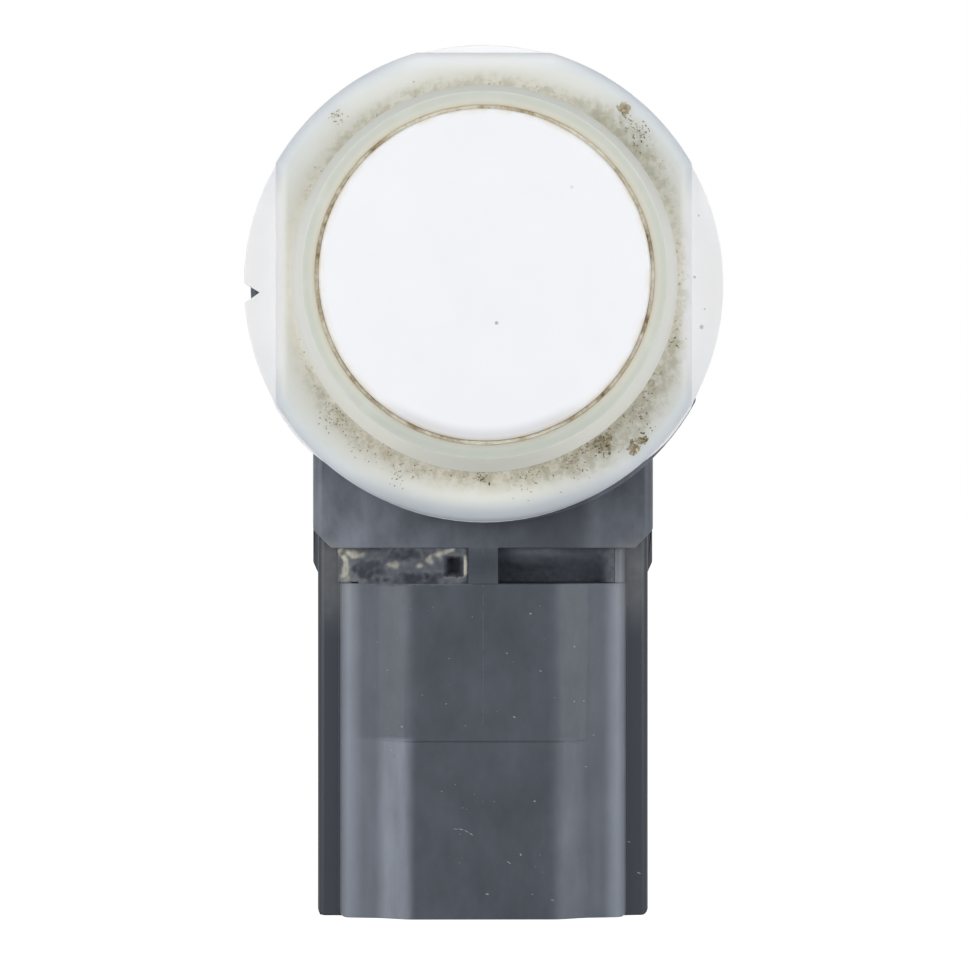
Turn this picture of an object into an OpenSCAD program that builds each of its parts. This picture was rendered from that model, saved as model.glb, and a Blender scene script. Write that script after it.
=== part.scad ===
// Right-angle ultrasonic parking sensor: a round sensing head with a connector that points down.
// Millimetres. +Z is up, the membrane faces -Y and the connector's mouth faces -Z.
// The origin is on the head's axis, in the front face of the decoupling ring's flange.

/* [Sensing head] */
// Diameter of the membrane cup
cup_d = 15.6; // [15:0.1:16.2]
// Length of the cup, from its painted face to its open end
cup_len = 9; // [8.6:0.1:9.6]
// Distance from the flange forward to the painted face
snout_len = 5.6; // [5.2:0.1:6]
// Thickness of the membrane
membrane_t = 0.7; // [0.5:0.05:1]
// Side wall of the cup
cup_wall = 1.2; // [0.9:0.05:1.5]
// Radius round the edge of the painted face
cup_edge_r = 0.35; // [0.1:0.05:0.5]
// Height of the rear rim above the cup's side
cup_rim_h = 0.6; // [0.4:0.05:0.7]
// Width of the rear rim along the axis
cup_rim_w = 1.2; // [0.8:0.1:1.5]
// Diameter of the piezo disc
piezo_d = 8; // [7:0.1:9]
// Thickness of the piezo disc
piezo_t = 0.5; // [0.3:0.05:0.8]
// Thickness of the damping pad
pad_t = 2; // [1.5:0.1:2.5]
// Depth of the sealing fill below the cup's open end
fill_recess = 0.6; // [0.2:0.1:1]
// Diameter of each piezo lead
lead_d = 0.5; // [0.4:0.05:0.7]
// Distance between the two piezo leads
lead_pitch = 4.4; // [3.6:0.1:5]
// Distance from the axis down to the piezo leads
lead_drop = 0.8; // [0.5:0.1:1.2]

/* [Decoupling ring] */
// Wall of the sleeve round the cup
sleeve_wall = 1.4; // [1.2:0.05:1.6]
// Distance from the painted face back to the lip
lip_setback = 0.3; // [0.1:0.05:0.6]
// Height of the sloped shoulder outside the lip
shoulder_h = 0.62; // [0.4:0.02:0.8]
// Length of the sloped shoulder along the axis
shoulder_len = 2.3; // [1.5:0.1:3]
// Width of the flare inside the lip
lip_flare = 0.14; // [0.05:0.01:0.25]
// Length of the flare along the axis
lip_flare_len = 0.8; // [0.4:0.1:1.5]
// Diameter of the flange
flange_d = 23.54; // [23.2:0.02:24]
// Thickness of the flange
flange_t = 1.6; // [1.2:0.1:2]
// Radius round the front edge of the flange
flange_edge_r = 0.75; // [0.3:0.05:1]
// Distance from the axis to each side flat
side_flat = 10.2; // [10:0.02:10.6]
// Distance from the axis to the top flat
top_flat = 11.3; // [10.8:0.02:11.4]
// Step from the sleeve down to the spigot behind the flange
spigot_step = 0.2; // [0.1:0.05:0.3]
// Thickness of the foot between the cup and the housing
foot_t = 1.2; // [0.8:0.1:1.5]
// Reach of the foot inside the cup's side
foot_reach = 1.2; // [0.8:0.1:1.6]

/* [Retaining ring] */
// Reach of the ring's edge beyond the silicone flange
ring_reach = 0.05; // [0.01:0.01:0.1]
// Reach of the ring's lower skirt beyond the silicone flange
skirt_reach = 0.14; // [0.1:0.01:0.2]
// Thickness of the retaining ring
ring_t = 1.2; // [0.9:0.1:1.6]
// Radial width of the ring's centring lip
ring_lip_w = 0.6; // [0.4:0.05:0.7]
// Length of the ring's centring lip
ring_lip_len = 0.6; // [0.4:0.1:0.9]
// Width of the chip in the ring's edge
nick_w = 1.02; // [0.4:0.02:1.2]
// Depth of the chip in the ring's edge
nick_depth = 0.62; // [0.2:0.02:0.8]
// Angle of the chip below the left side
nick_angle = 2; // [-20:1:20]

/* [Barrel] */
// Inset of the housing's flange from the silicone flange
rim_inset = 0.18; // [0.1:0.02:0.3]
// Thickness of the housing's flange
rim_t = 1.5; // [1.2:0.1:2]
// Chamfer round the housing's flange
rim_chamfer = 0.2; // [0.1:0.05:0.4]
// Reach of the lower apron beyond the silicone flange
apron_reach = 0.23; // [0.15:0.01:0.4]
// Width across the lower apron
apron_w = 21.1; // [20.6:0.1:21.4]
// Distance from the axis down to the lower apron's ends
apron_drop = 5.5; // [4.5:0.1:6.5]
// Diameter of the barrel
barrel_d = 20.4; // [20.2:0.1:21]
// Side wall of the barrel
barrel_wall = 1.2; // [1:0.05:1.3]
// Chamfer round the rear edge of the barrel
barrel_chamfer = 0.4; // [0.2:0.05:0.6]
// Thickness of the web between the head and the board
web_t = 1.4; // [1:0.1:2]
// Diameter of the opening in the web
web_hole_d = 11; // [9:0.1:12]
// Room between the web and the board
front_room = 3; // [2.4:0.1:4]
// Room between the board and the rear edge
rear_room = 8.2; // [7.8:0.1:9.5]
// Width of the ledge under the board
ledge_w = 0.6; // [0.4:0.05:0.8]
// Depth of the potting below the rear edge
potting_recess = 0.8; // [0.3:0.1:1.2]
// Height of the latch lugs on the barrel
latch_h = 1.1; // [0.6:0.05:1.3]
// Width of each latch lug
latch_w = 4.4; // [3:0.1:6]
// Length of the ramp on each latch lug
latch_ramp = 2.2; // [1.5:0.1:3]
// Length of the flat top of each latch lug
latch_top = 1; // [0.6:0.1:1.5]
// Gap between the flange and the latch lugs
latch_gap = 2.4; // [2:0.1:3]

/* [Neck] */
// Width of the neck plate
neck_w = 17.3; // [17:0.02:17.4]
// Distance from the painted face back to the neck plate
neck_setback = 11.5; // [11.2:0.1:12]
// Thickness of the neck plate
neck_t = 2.6; // [2.2:0.1:3]
// Distance from the axis down to the neck plate's lower edge
neck_drop = 13.08; // [12.6:0.02:13.4]
// Radius of the neck plate's upright edges
neck_edge_r = 0.5; // [0.3:0.05:0.8]
// Chamfer at the neck plate's lower corners
neck_chamfer = 0.95; // [0.6:0.05:1.2]
// Height of the windows between neck and panel
window_h = 1.78; // [1.4:0.02:2.2]
// Depth of the windows behind the panel's front
window_depth = 5.2; // [4.4:0.1:5.6]
// Distance from the panel's upright edge to each window's outer end
window_end = 0.35; // [0.2:0.05:0.6]
// Width of the rib between the windows
window_rib_w = 1.5; // [1:0.05:2]
// Width across the side lugs
lug_w = 17.5; // [17.42:0.02:17.8]
// Height of the side lugs
lug_h = 2; // [1.5:0.1:2.6]
// Drop of the side lugs below the neck plate
lug_drop = 0.77; // [0.5:0.01:1]
// Height of the taper under the side lugs
lug_taper = 0.65; // [0.4:0.05:0.9]
// Length of the side lugs
lug_len = 6.5; // [4:0.1:8]
// Height of the core-outs behind the neck
core_h = 4; // [3:0.1:4.4]
// Depth of the core-outs behind the neck
core_depth = 2.6; // [1.5:0.1:3]
// Width of each core-out behind the neck
core_w = 5.4; // [4:0.1:6]
// Width of the rib between the core-outs
core_rib_w = 1.6; // [1.2:0.1:2.4]

/* [Connector] */
// Distance from the head's axis down to the connector's mouth
mouth_drop = 31.9; // [31:0.1:33]
// Width of the shroud
shroud_w = 16.92; // [16.6:0.02:17]
// Depth of the shroud behind its shoulders
shroud_depth = 10.4; // [10:0.1:11]
// Wall of the shroud
shroud_wall = 1.2; // [0.9:0.05:1.4]
// Radius of the shroud's front edges
shroud_edge_r = 0.4; // [0.2:0.05:0.6]
// Radius of the shroud's rear edges
shroud_back_r = 1; // [0.5:0.1:1.5]
// Radius of the shroud's lower corners
mouth_corner_r = 0.35; // [0.1:0.05:0.6]
// Distance from the painted face back to the front panel
panel_setback = 11.2; // [11:0.1:11.4]
// Width of the front panel
panel_w = 14.1; // [13.6:0.02:14.4]
// Width of the flat in the middle of the panel
panel_flat_w = 7; // [6.5:0.1:8]
// Width of the rounded slope beside the flat
panel_slope_w = 1.9; // [1.5:0.05:2.1]
// Set-back of the panel's side strips
panel_slope_h = 0.6; // [0.4:0.05:0.8]
// Angle of the side strips, falling away outwards
strip_tilt = 9; // [4:1:12]
// Set-back of the shoulders behind the side strips
panel_step = 1; // [0.95:0.05:1.2]
// Radius of the panel's upright edges
panel_edge_r = 0.75; // [0.4:0.05:0.8]
// Distance from the mouth up to the fine step across the panel
pad_step_up = 9.1; // [7:0.1:11]
// Height of the fine step across the panel
pad_step_h = 0.12; // [0.05:0.01:0.2]
// Depth of the socket
socket_depth = 14.5; // [13.5:0.1:15]
// Radius of the socket's corners
socket_corner_r = 0.6; // [0.3:0.05:0.9]
// Width of the lock ramp behind the shroud
lock_w = 4; // [3:0.1:5]
// Height of the lock ramp
lock_h = 1.2; // [0.8:0.05:1.4]
// Distance from the mouth up to the foot of the lock ramp
lock_up = 3.2; // [2.5:0.1:5]
// Length of the lock ramp's slope
lock_ramp = 2.6; // [2:0.1:3.5]
// Length of the lock ramp's flat top
lock_top = 1; // [0.6:0.1:1.6]
// Distance between the centres of the guide ribs
guide_pitch = 8.4; // [7:0.1:10]
// Width of each guide rib
guide_w = 1; // [0.8:0.05:1.4]
// Height of each guide rib
guide_h = 1; // [0.6:0.05:1.2]
// Length of each guide rib
guide_len = 12; // [9:0.1:13]

/* [Terminals] */
// Width and thickness of a terminal
pin_t = 0.64; // [0.5:0.02:0.8]
// Distance between terminals
pin_pitch = 2.5; // [2.2:0.05:2.8]
// Distance from the mouth up to the terminals' tips
pin_recess = 6; // [5:0.1:7]
// Length of the taper at a terminal's tip
pin_taper = 0.8; // [0.4:0.1:1.2]
// Width of a terminal's end face
pin_end_w = 0.24; // [0.15:0.01:0.35]
// Distance from the axis down to the terminals' soldered ends
pin_row_drop = 6; // [5.4:0.1:6.4]
// Length of the soldered ends ahead of the board
pin_stub = 0.8; // [0.4:0.1:1.2]

/* [Board] */
// Thickness of the circuit board
board_t = 1.2; // [0.8:0.1:1.6]
// Side of the square sensor chip
chip_w = 5; // [4:0.1:5.4]
// Height of the sensor chip
chip_h = 0.9; // [0.6:0.05:1.4]
// Side of the transformer's square base
transformer_w = 5.6; // [5.2:0.1:5.8]
// Thickness of the transformer's base
transformer_base_t = 0.9; // [0.6:0.1:1.2]
// Diameter of the transformer's core
core_d = 5.2; // [4.8:0.1:5.2]
// Diameter of the core's post
post_d = 2.4; // [1.6:0.1:3]
// Thickness of each end of the core
core_end_t = 0.9; // [0.6:0.05:1.2]
// Height of the winding
coil_h = 2.4; // [1.8:0.1:2.8]
// Diameter of the winding
coil_d = 4.6; // [4:0.1:4.8]
// Diameter of the supply capacitor
can_d = 4; // [3:0.1:4.4]
// Height of the supply capacitor
can_h = 5.2; // [4:0.1:5.6]
// Length of the protection diode
diode_len = 2.8; // [2:0.1:3]
// Width of the protection diode
diode_w = 1.7; // [1.2:0.1:2]
// Height of the protection diode
diode_h = 1.1; // [0.8:0.05:1.4]
// Length of each chip resistor and chip capacitor
smd_len = 1.6; // [1.2:0.1:1.8]
// Width of each chip resistor and chip capacitor
smd_w = 0.8; // [0.6:0.05:1]
// Height of each chip resistor
resistor_h = 0.5; // [0.3:0.05:0.7]
// Height of each chip capacitor
capacitor_h = 0.8; // [0.6:0.05:1]
// Number of chip resistors
resistor_count = 4; // [2:1:4]
// Number of chip capacitors
capacitor_count = 3; // [2:1:3]
// Distance between the chips in a row
smd_pitch = 2.4; // [2.1:0.1:2.6]
// Gap between neighbours on the board
board_gap = 0.4; // [0.3:0.05:0.5]

/* [Clearances] */
// Radial clearance of the silicone on the cup and in the housing
ring_fit = 0.05; // [0.02:0.01:0.1]
// Radial clearance of the fill and potting in their walls
fill_fit = 0.02; // [0.01:0.01:0.05]
// Radial clearance of the board in the barrel
board_fit = 0.1; // [0.05:0.01:0.2]
// Clearance round a terminal in the housing
pin_fit = 0.02; // [0.01:0.01:0.05]
// Radial clearance of a lead or terminal in the board
hole_fit = 0.06; // [0.03:0.01:0.1]

/* [Hidden] */
$fn = 96;
// A cut runs this far past the face that it opens
past = 1;
// Facets along each rounded slope and each upright edge of the panel
panel_steps = 10;

// Stations along the head's axis, from the painted face to the rear edge
y_face = -snout_len;
y_lip = y_face + lip_setback;
y_cup_back = y_face + cup_len;
y_piezo = y_face + membrane_t;
y_pad = y_piezo + piezo_t;
y_fill = y_pad + pad_t;
y_ring = flange_t;
y_rim = y_ring + ring_t;
y_rim_back = y_rim + rim_t;
y_seat = y_cup_back + foot_t;
y_web_back = y_seat + web_t;
y_board = y_web_back + front_room;
y_board_back = y_board + board_t;
y_rear = y_board_back + rear_room;
y_neck = y_face + neck_setback;
y_neck_back = y_neck + neck_t;
y_panel = y_face + panel_setback;
y_strip = y_panel + panel_slope_h;
y_shoulder = y_strip + panel_step;
y_shroud_back = y_shoulder + shroud_depth;
y_latch = y_rim_back + latch_gap;

// Stations up and down
z_mouth = -mouth_drop;
z_neck = -neck_drop;
z_panel = z_neck - window_h;
z_socket = z_mouth + socket_depth;
z_tip = z_mouth + pin_recess;
z_pin_row = -pin_row_drop;
z_core = z_socket + shroud_wall;

// Radii about the head's axis
cup_r = cup_d / 2;
cup_bore_r = cup_r - cup_wall;
bore_r = cup_r + ring_fit;
sleeve_r = bore_r + sleeve_wall;
spigot_r = sleeve_r - spigot_step;
groove_r = cup_r + cup_rim_h + ring_fit;
foot_r = cup_r - foot_reach;
seat_r = spigot_r + ring_fit;
ring_lip_r = seat_r + ring_lip_w;
flange_r = flange_d / 2;
ring_r = flange_r + ring_reach;
skirt_r = flange_r + skirt_reach;
rim_r = flange_r - rim_inset;
apron_r = flange_r + apron_reach;
barrel_r = barrel_d / 2;
cavity_r = barrel_r - barrel_wall;
ledge_r = cavity_r - ledge_w;
board_r = cavity_r - board_fit;
fill_r = cup_bore_r - fill_fit;
lead_r = lead_d / 2;

// The socket lies inside the shroud's walls, and the terminals stand in the middle of it
y_socket = y_shoulder + shroud_wall;
y_socket_back = y_shroud_back - shroud_wall;
y_pin = (y_socket + y_socket_back) / 2;
bay_half = panel_w / 2 - shroud_wall;
pin_hole_r = pin_t / sqrt(2) + hole_fit;
window_half = panel_w / 2 - window_end;
slope_half = panel_flat_w / 2 + panel_slope_w;
x_panel_edge = panel_w / 2 - panel_edge_r;
strip_w = x_panel_edge + panel_edge_r * sin(strip_tilt) - slope_half;
y_panel_edge = y_strip + strip_w * tan(strip_tilt) + panel_edge_r * cos(strip_tilt);

// Places on the board: one row above the leads and one below them, either side of the middle
z_above = lead_r + board_gap - lead_drop;
z_below = -lead_r - board_gap - lead_drop;
chip_at = [0, z_above + chip_w / 2];
transformer_at = [-(transformer_w + board_gap) / 2, z_above + transformer_w / 2];
can_at = [(can_d + board_gap) / 2, z_above + can_d / 2];
diode_at = [(diode_len + board_gap) / 2, z_below - diode_w / 2];
z_smd = z_below - smd_w / 2;
capacitor_row_len = (capacitor_count - 1) * smd_pitch + smd_len;
x_capacitors = -(capacitor_row_len + board_gap) / 2;

black = [0.13, 0.14, 0.16];
silicone = [0.8, 0.82, 0.8];
white = [0.94, 0.95, 0.96];
tin = [0.75, 0.75, 0.72];
copper = [0.75, 0.42, 0.22];

// Local Z runs back along the head's axis from the station y
module on_axis(y = 0) {
    translate([0, y, 0]) rotate([-90, 0, 0]) children();
}

module disc(r, y0, y1) {
    on_axis(y0) cylinder(r = r, h = y1 - y0);
}

// Turned shape: the profile's X is the radius and its Y the station on the axis
module turned() {
    on_axis() rotate_extrude() children();
}

// Plan section drawn in X and Y, standing from z0 up to z1
module upright(z0, z1) {
    translate([0, 0, z0]) linear_extrude(z1 - z0) children();
}

// Front outline drawn in X and Z, reaching from y0 back to y1
module front_outline(y0, y1) {
    translate([0, y1, 0]) rotate([90, 0, 0]) linear_extrude(y1 - y0) children();
}

// Side outline drawn in Y and Z, centred on X with the width w
module side_outline(w) {
    rotate([90, 0, 90]) linear_extrude(w, center = true) children();
}

// Rectangle from y0 to y1 with its own corner radius at each end
module soft_rect(half_w, y0, y1, r0, r1) {
    translate([-half_w, y0 + r0]) square([2 * half_w, y1 - y0 - r0 - r1]);
    translate([r0 - half_w, y0]) square([2 * (half_w - r0), y1 - y0 - r1]);
    translate([r1 - half_w, y0 + r0]) square([2 * (half_w - r1), y1 - y0 - r0]);
    for (side = [-1, 1]) {
        translate([side * (half_w - r0), y0 + r0]) circle(r0);
        translate([side * (half_w - r1), y1 - r1]) circle(r1);
    }
}

// Lower part of a disc, between the flange's side flats
module lower_arc(r, y0, y1) {
    intersection() {
        disc(r, y0, y1);
        translate([-apron_w / 2, y0, -r]) cube([apron_w, y1 - y0, r - apron_drop]);
    }
}

module both_sides() {
    children();
    mirror([1, 0, 0]) children();
}

// Part on the rear face of the board, local Z pointing back
module behind_board(at) {
    translate([at[0], 0, at[1]]) on_axis(y_board_back) children();
}

// Part on the front face of the board, local Z pointing forward
module ahead_of_board(at) {
    translate([at[0], y_board, at[1]]) rotate([90, 0, 0]) children();
}

module block(size, grow = 0) {
    translate([-size[0] / 2 - grow, -size[1] / 2 - grow, 0])
        cube([size[0] + 2 * grow, size[1] + 2 * grow, size[2] + grow]);
}

// Membrane cup and what is bonded inside it

module cup_profile() {
    translate([0, y_face + cup_edge_r]) square([cup_r, cup_len - cup_edge_r]);
    translate([0, y_face]) square([cup_r - cup_edge_r, cup_len]);
    translate([cup_r - cup_edge_r, y_face + cup_edge_r]) circle(cup_edge_r);
    translate([0, y_cup_back - cup_rim_w]) square([cup_r + cup_rim_h, cup_rim_w]);
}

module membrane_cup() {
    color(white) difference() {
        turned() cup_profile();
        disc(cup_bore_r, y_piezo, y_cup_back + past);
    }
}

module piezo_disc() {
    color([0.85, 0.82, 0.7]) disc(piezo_d / 2, y_piezo, y_pad);
}

module lead_holes(y0, y1, r) {
    both_sides() translate([lead_pitch / 2, 0, -lead_drop]) disc(r, y0 - past, y1 + past);
}

module damping_pad() {
    color("dimgray") difference() {
        disc(fill_r, y_pad, y_fill);
        lead_holes(y_pad, y_fill, lead_r + fill_fit);
    }
}

module cup_fill() {
    color("gainsboro") difference() {
        disc(fill_r, y_fill, y_cup_back - fill_recess);
        lead_holes(y_fill, y_cup_back - fill_recess, lead_r + fill_fit);
    }
}

module lead(side, grow = 0) {
    translate([side * lead_pitch / 2, 0, -lead_drop])
        disc(lead_r + grow, y_pad, y_board_back + pin_stub + grow);
}

module signal_lead() {
    color(copper) lead(1);
}

module ground_lead() {
    color(copper) lead(-1);
}

// Decoupling ring: sleeve and foot are turned, the flange is rounded along its rim and its flats

module sleeve_profile() {
    polygon([
        [bore_r + lip_flare, y_lip],
        [sleeve_r - shoulder_h, y_lip],
        [sleeve_r, y_lip + shoulder_len],
        [sleeve_r, y_ring],
        [spigot_r, y_ring],
        [spigot_r, y_seat],
        [foot_r, y_seat],
        [foot_r, y_cup_back],
        [groove_r, y_cup_back],
        [groove_r, y_cup_back - cup_rim_w - ring_fit],
        [bore_r, y_cup_back - cup_rim_w - ring_fit],
        [bore_r, y_lip + lip_flare_len]
    ]);
}

module flange_profile(half_w) {
    translate([0, flange_edge_r]) square([half_w, flange_t - flange_edge_r]);
    square([half_w - flange_edge_r, flange_t]);
    translate([half_w - flange_edge_r, flange_edge_r]) circle(flange_edge_r);
}

module silicone_flange() {
    difference() {
        intersection() {
            turned() intersection() {
                flange_profile(flange_r);
                square([flange_r, flange_t]);
            }
            upright(-flange_r, flange_r) both_sides() flange_profile(side_flat);
            rotate([0, -90, 0]) upright(-flange_r, flange_r) flange_below_top();
        }
        disc(sleeve_r, -past, flange_t + past);
    }
}

module flange_below_top() {
    translate([-flange_r, 0]) square([flange_r + top_flat / 2, flange_t]);
    flange_profile(top_flat);
}

module decoupling_ring() {
    color(silicone) {
        turned() sleeve_profile();
        silicone_flange();
    }
}

// Retaining ring with a lower skirt, and a chip in its left edge

module retaining_ring() {
    color(white) difference() {
        union() {
            disc(ring_r, y_ring, y_rim);
            lower_arc(skirt_r, y_ring, y_rim);
            disc(ring_lip_r, y_rim, y_rim + ring_lip_len);
        }
        disc(seat_r, y_ring - past, y_rim + ring_lip_len + past);
        rotate([0, -nick_angle, 0]) front_outline(y_ring - past, y_rim + past) nick();
    }
}

module nick() {
    polygon([
        [-ring_r + nick_depth, 0],
        [-ring_r - nick_depth, nick_w],
        [-ring_r - nick_depth, -nick_w]
    ]);
}

// Housing

module barrel() {
    turned() polygon([
        [0, y_rim],
        [rim_r - rim_chamfer, y_rim],
        [rim_r, y_rim + rim_chamfer],
        [rim_r, y_rim_back - rim_chamfer],
        [rim_r - rim_chamfer, y_rim_back],
        [barrel_r, y_rim_back],
        [barrel_r, y_rear - barrel_chamfer],
        [barrel_r - barrel_chamfer, y_rear],
        [0, y_rear]
    ]);
}

// Apron below the silicone flange, where the neck takes over from the barrel
module apron() {
    lower_arc(apron_r, y_rim, y_rim_back);
}

module latch_lugs() {
    both_sides() upright(-latch_w / 2, latch_w / 2) polygon([
        [barrel_r - barrel_wall / 2, y_latch],
        [barrel_r, y_latch],
        [barrel_r + latch_h, y_latch + latch_ramp],
        [barrel_r + latch_h, y_latch + latch_ramp + latch_top],
        [barrel_r - barrel_wall / 2, y_latch + latch_ramp + latch_top]
    ]);
}

module neck_plate() {
    intersection() {
        upright(z_neck, 0)
            soft_rect(neck_w / 2, y_neck, y_neck_back + neck_edge_r, neck_edge_r, neck_edge_r);
        front_outline(y_neck, y_neck_back) polygon([
            [-neck_w / 2, 0],
            [-neck_w / 2, z_neck + neck_chamfer],
            [-neck_w / 2 + neck_chamfer, z_neck],
            [neck_w / 2 - neck_chamfer, z_neck],
            [neck_w / 2, z_neck + neck_chamfer],
            [neck_w / 2, 0]
        ]);
    }
}

module side_lugs() {
    z_low = z_neck - lug_drop;
    front_outline(y_neck_back, y_neck_back + lug_len) polygon([
        [-lug_w / 2, z_low + lug_h],
        [-lug_w / 2, z_low],
        [-shroud_w / 2, z_low - lug_taper],
        [shroud_w / 2, z_low - lug_taper],
        [lug_w / 2, z_low],
        [lug_w / 2, z_low + lug_h]
    ]);
}

module shroud_box() {
    half = shroud_w / 2;
    intersection() {
        upright(z_mouth, 0) soft_rect(half, y_shoulder, y_shroud_back, shroud_edge_r, shroud_back_r);
        front_outline(y_shoulder, y_shroud_back)
            soft_rect(half, z_mouth, mouth_corner_r, mouth_corner_r, mouth_corner_r);
    }
}

// Half plan of the front panel, from the flat in the middle to the upright edge
function ease(t) = t * t * (3 - 2 * t);

function slope_at(t, set_back) = [
    panel_flat_w / 2 + t * panel_slope_w,
    y_panel + set_back + ease(t) * (panel_slope_h - set_back)
        + tan(strip_tilt) * panel_slope_w * t * t * (t - 1)
];

function edge_at(t) = [
    x_panel_edge + panel_edge_r * sin(strip_tilt + t * (90 - strip_tilt)),
    y_panel_edge - panel_edge_r * cos(strip_tilt + t * (90 - strip_tilt))
];

function panel_half(set_back) = concat(
    [for (i = [0 : panel_steps]) slope_at(i / panel_steps, set_back)],
    [for (i = [0 : panel_steps]) edge_at(i / panel_steps)],
    [[panel_w / 2, y_shoulder + shroud_edge_r]]
);

module panel_plan(set_back) {
    half = panel_half(set_back);
    last = len(half) - 1;
    polygon(concat(half, [for (i = [0 : last]) [-half[last - i][0], half[last - i][1]]]));
}

module front_panel() {
    z_step = z_mouth + pad_step_up;
    intersection() {
        union() {
            upright(z_mouth, z_step) panel_plan(pad_step_h);
            upright(z_step, z_panel) panel_plan(0);
        }
        front_outline(y_panel, y_shoulder + shroud_edge_r)
            soft_rect(panel_w / 2, z_mouth, z_panel + mouth_corner_r, mouth_corner_r, mouth_corner_r);
    }
}

module window_rib() {
    translate([-window_rib_w / 2, y_neck, z_panel - window_h])
        cube([window_rib_w, neck_t, 3 * window_h]);
}

// Windows between the neck plate and the panel
module windows() {
    both_sides()
        translate([window_rib_w / 2, y_panel - past, z_panel])
            cube([window_half - window_rib_w / 2, window_depth + past, window_h]);
}

module core_outs() {
    both_sides()
        translate([core_rib_w / 2, y_shroud_back - core_depth, z_core])
            cube([core_w, core_depth + past, core_h]);
}

module lock_and_guides() {
    z_lock = z_mouth + lock_up;
    side_outline(lock_w) polygon([
        [y_socket_back + shroud_wall / 2, z_lock],
        [y_shroud_back, z_lock],
        [y_shroud_back + lock_h, z_lock + lock_ramp],
        [y_shroud_back + lock_h, z_lock + lock_ramp + lock_top],
        [y_socket_back + shroud_wall / 2, z_lock + lock_ramp + lock_top]
    ]);
    both_sides()
        translate([(guide_pitch - guide_w) / 2, y_socket_back + shroud_wall / 2, z_mouth])
            cube([guide_w, guide_h + shroud_wall / 2, guide_len]);
}

module socket() {
    upright(z_mouth - past, z_socket) {
        soft_rect(shroud_w / 2 - shroud_wall, y_socket, y_socket_back, socket_corner_r, socket_corner_r);
        soft_rect(bay_half, y_strip + shroud_wall, y_pin, socket_corner_r, socket_corner_r);
    }
}

module head_bores() {
    disc(seat_r, y_rim - past, y_seat);
    disc(ring_lip_r + ring_fit, y_rim - past, y_rim + ring_lip_len + ring_fit);
    disc(web_hole_d / 2, y_seat - past, y_web_back + past);
    disc(ledge_r, y_web_back, y_board + past);
    disc(cavity_r, y_board, y_rear + past);
}

module housing() {
    color(black) difference() {
        union() {
            barrel();
            apron();
            latch_lugs();
            neck_plate();
            difference() {
                union() {
                    shroud_box();
                    front_panel();
                    side_lugs();
                }
                windows();
            }
            window_rib();
            lock_and_guides();
        }
        head_bores();
        socket();
        core_outs();
        for (i = [-1, 0, 1]) {
            terminal(i, pin_fit);
        }
    }
}

// Terminals: a leg down into the socket and a leg forward through the board

module pin_outline(len) {
    polygon([
        [-pin_end_w / 2, 0],
        [pin_end_w / 2, 0],
        [pin_t / 2, pin_taper],
        [pin_t / 2, len],
        [-pin_t / 2, len],
        [-pin_t / 2, pin_taper]
    ]);
}

module pin_leg(len) {
    intersection() {
        rotate([90, 0, 0]) linear_extrude(pin_t, center = true) pin_outline(len);
        rotate([90, 0, 90]) linear_extrude(pin_t, center = true) pin_outline(len);
    }
}

module pin_room(len, grow) {
    half = pin_t / 2 + grow;
    translate([-half, -half, -grow]) cube([2 * half, 2 * half, len + 2 * grow]);
}

// With grow above zero this is the room that a terminal needs, without its tapers
module terminal(i, grow = 0) {
    down = z_pin_row + pin_t / 2 - z_tip;
    ahead = y_pin + pin_t / 2 - y_board + pin_stub;
    translate([i * pin_pitch, y_pin, z_tip]) {
        if (grow > 0) pin_room(down, grow);
        else pin_leg(down);
    }
    translate([i * pin_pitch, y_board - pin_stub, z_pin_row]) rotate([-90, 0, 0]) {
        if (grow > 0) pin_room(ahead, grow);
        else pin_leg(ahead);
    }
}

module terminal_supply() {
    color(tin) terminal(-1);
}

module terminal_signal() {
    color(tin) terminal(0);
}

module terminal_ground() {
    color(tin) terminal(1);
}

// Board and what is soldered to it

module circuit_board() {
    color("darkgreen") difference() {
        disc(board_r, y_board, y_board_back);
        lead_holes(y_board, y_board_back, lead_r + hole_fit);
        for (i = [-1, 0, 1]) {
            translate([i * pin_pitch, 0, z_pin_row]) disc(pin_hole_r, y_board - past, y_board_back + past);
        }
    }
}

module sensor_chip() {
    color(black) ahead_of_board(chip_at) block([chip_w, chip_w, chip_h]);
}

// A row of equal chips along X, centred at x
module chip_row(count, x) {
    for (i = [0 : count - 1]) {
        translate([x + (i - (count - 1) / 2) * smd_pitch, 0, 0]) children();
    }
}

module chip_resistors() {
    color(black) chip_row(resistor_count, 0)
        ahead_of_board([0, z_smd]) block([smd_len, smd_w, resistor_h]);
}

module chip_capacitors(grow = 0) {
    color("tan") chip_row(capacitor_count, x_capacitors)
        behind_board([0, z_smd]) block([smd_len, smd_w, capacitor_h], grow);
}

module supply_capacitor(grow = 0) {
    color("silver") behind_board(can_at) cylinder(d = can_d + 2 * grow, h = can_h + grow);
}

module protection_diode(grow = 0) {
    color(black) behind_board(diode_at) block([diode_len, diode_w, diode_h], grow);
}

module transformer_base(grow = 0) {
    color(black) behind_board(transformer_at)
        block([transformer_w, transformer_w, transformer_base_t], grow);
}

module core_profile() {
    square([core_d / 2, core_end_t]);
    square([post_d / 2, 2 * core_end_t + coil_h]);
    translate([0, core_end_t + coil_h]) square([core_d / 2, core_end_t]);
}

module transformer_core() {
    color("dimgray") behind_board(transformer_at)
        translate([0, 0, transformer_base_t]) rotate_extrude() core_profile();
}

module transformer_coil() {
    color(copper) behind_board(transformer_at)
        translate([0, 0, transformer_base_t + core_end_t]) difference() {
            cylinder(d = coil_d, h = coil_h);
            translate([0, 0, -past]) cylinder(d = post_d + 2 * ring_fit, h = coil_h + 2 * past);
        }
}

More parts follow.
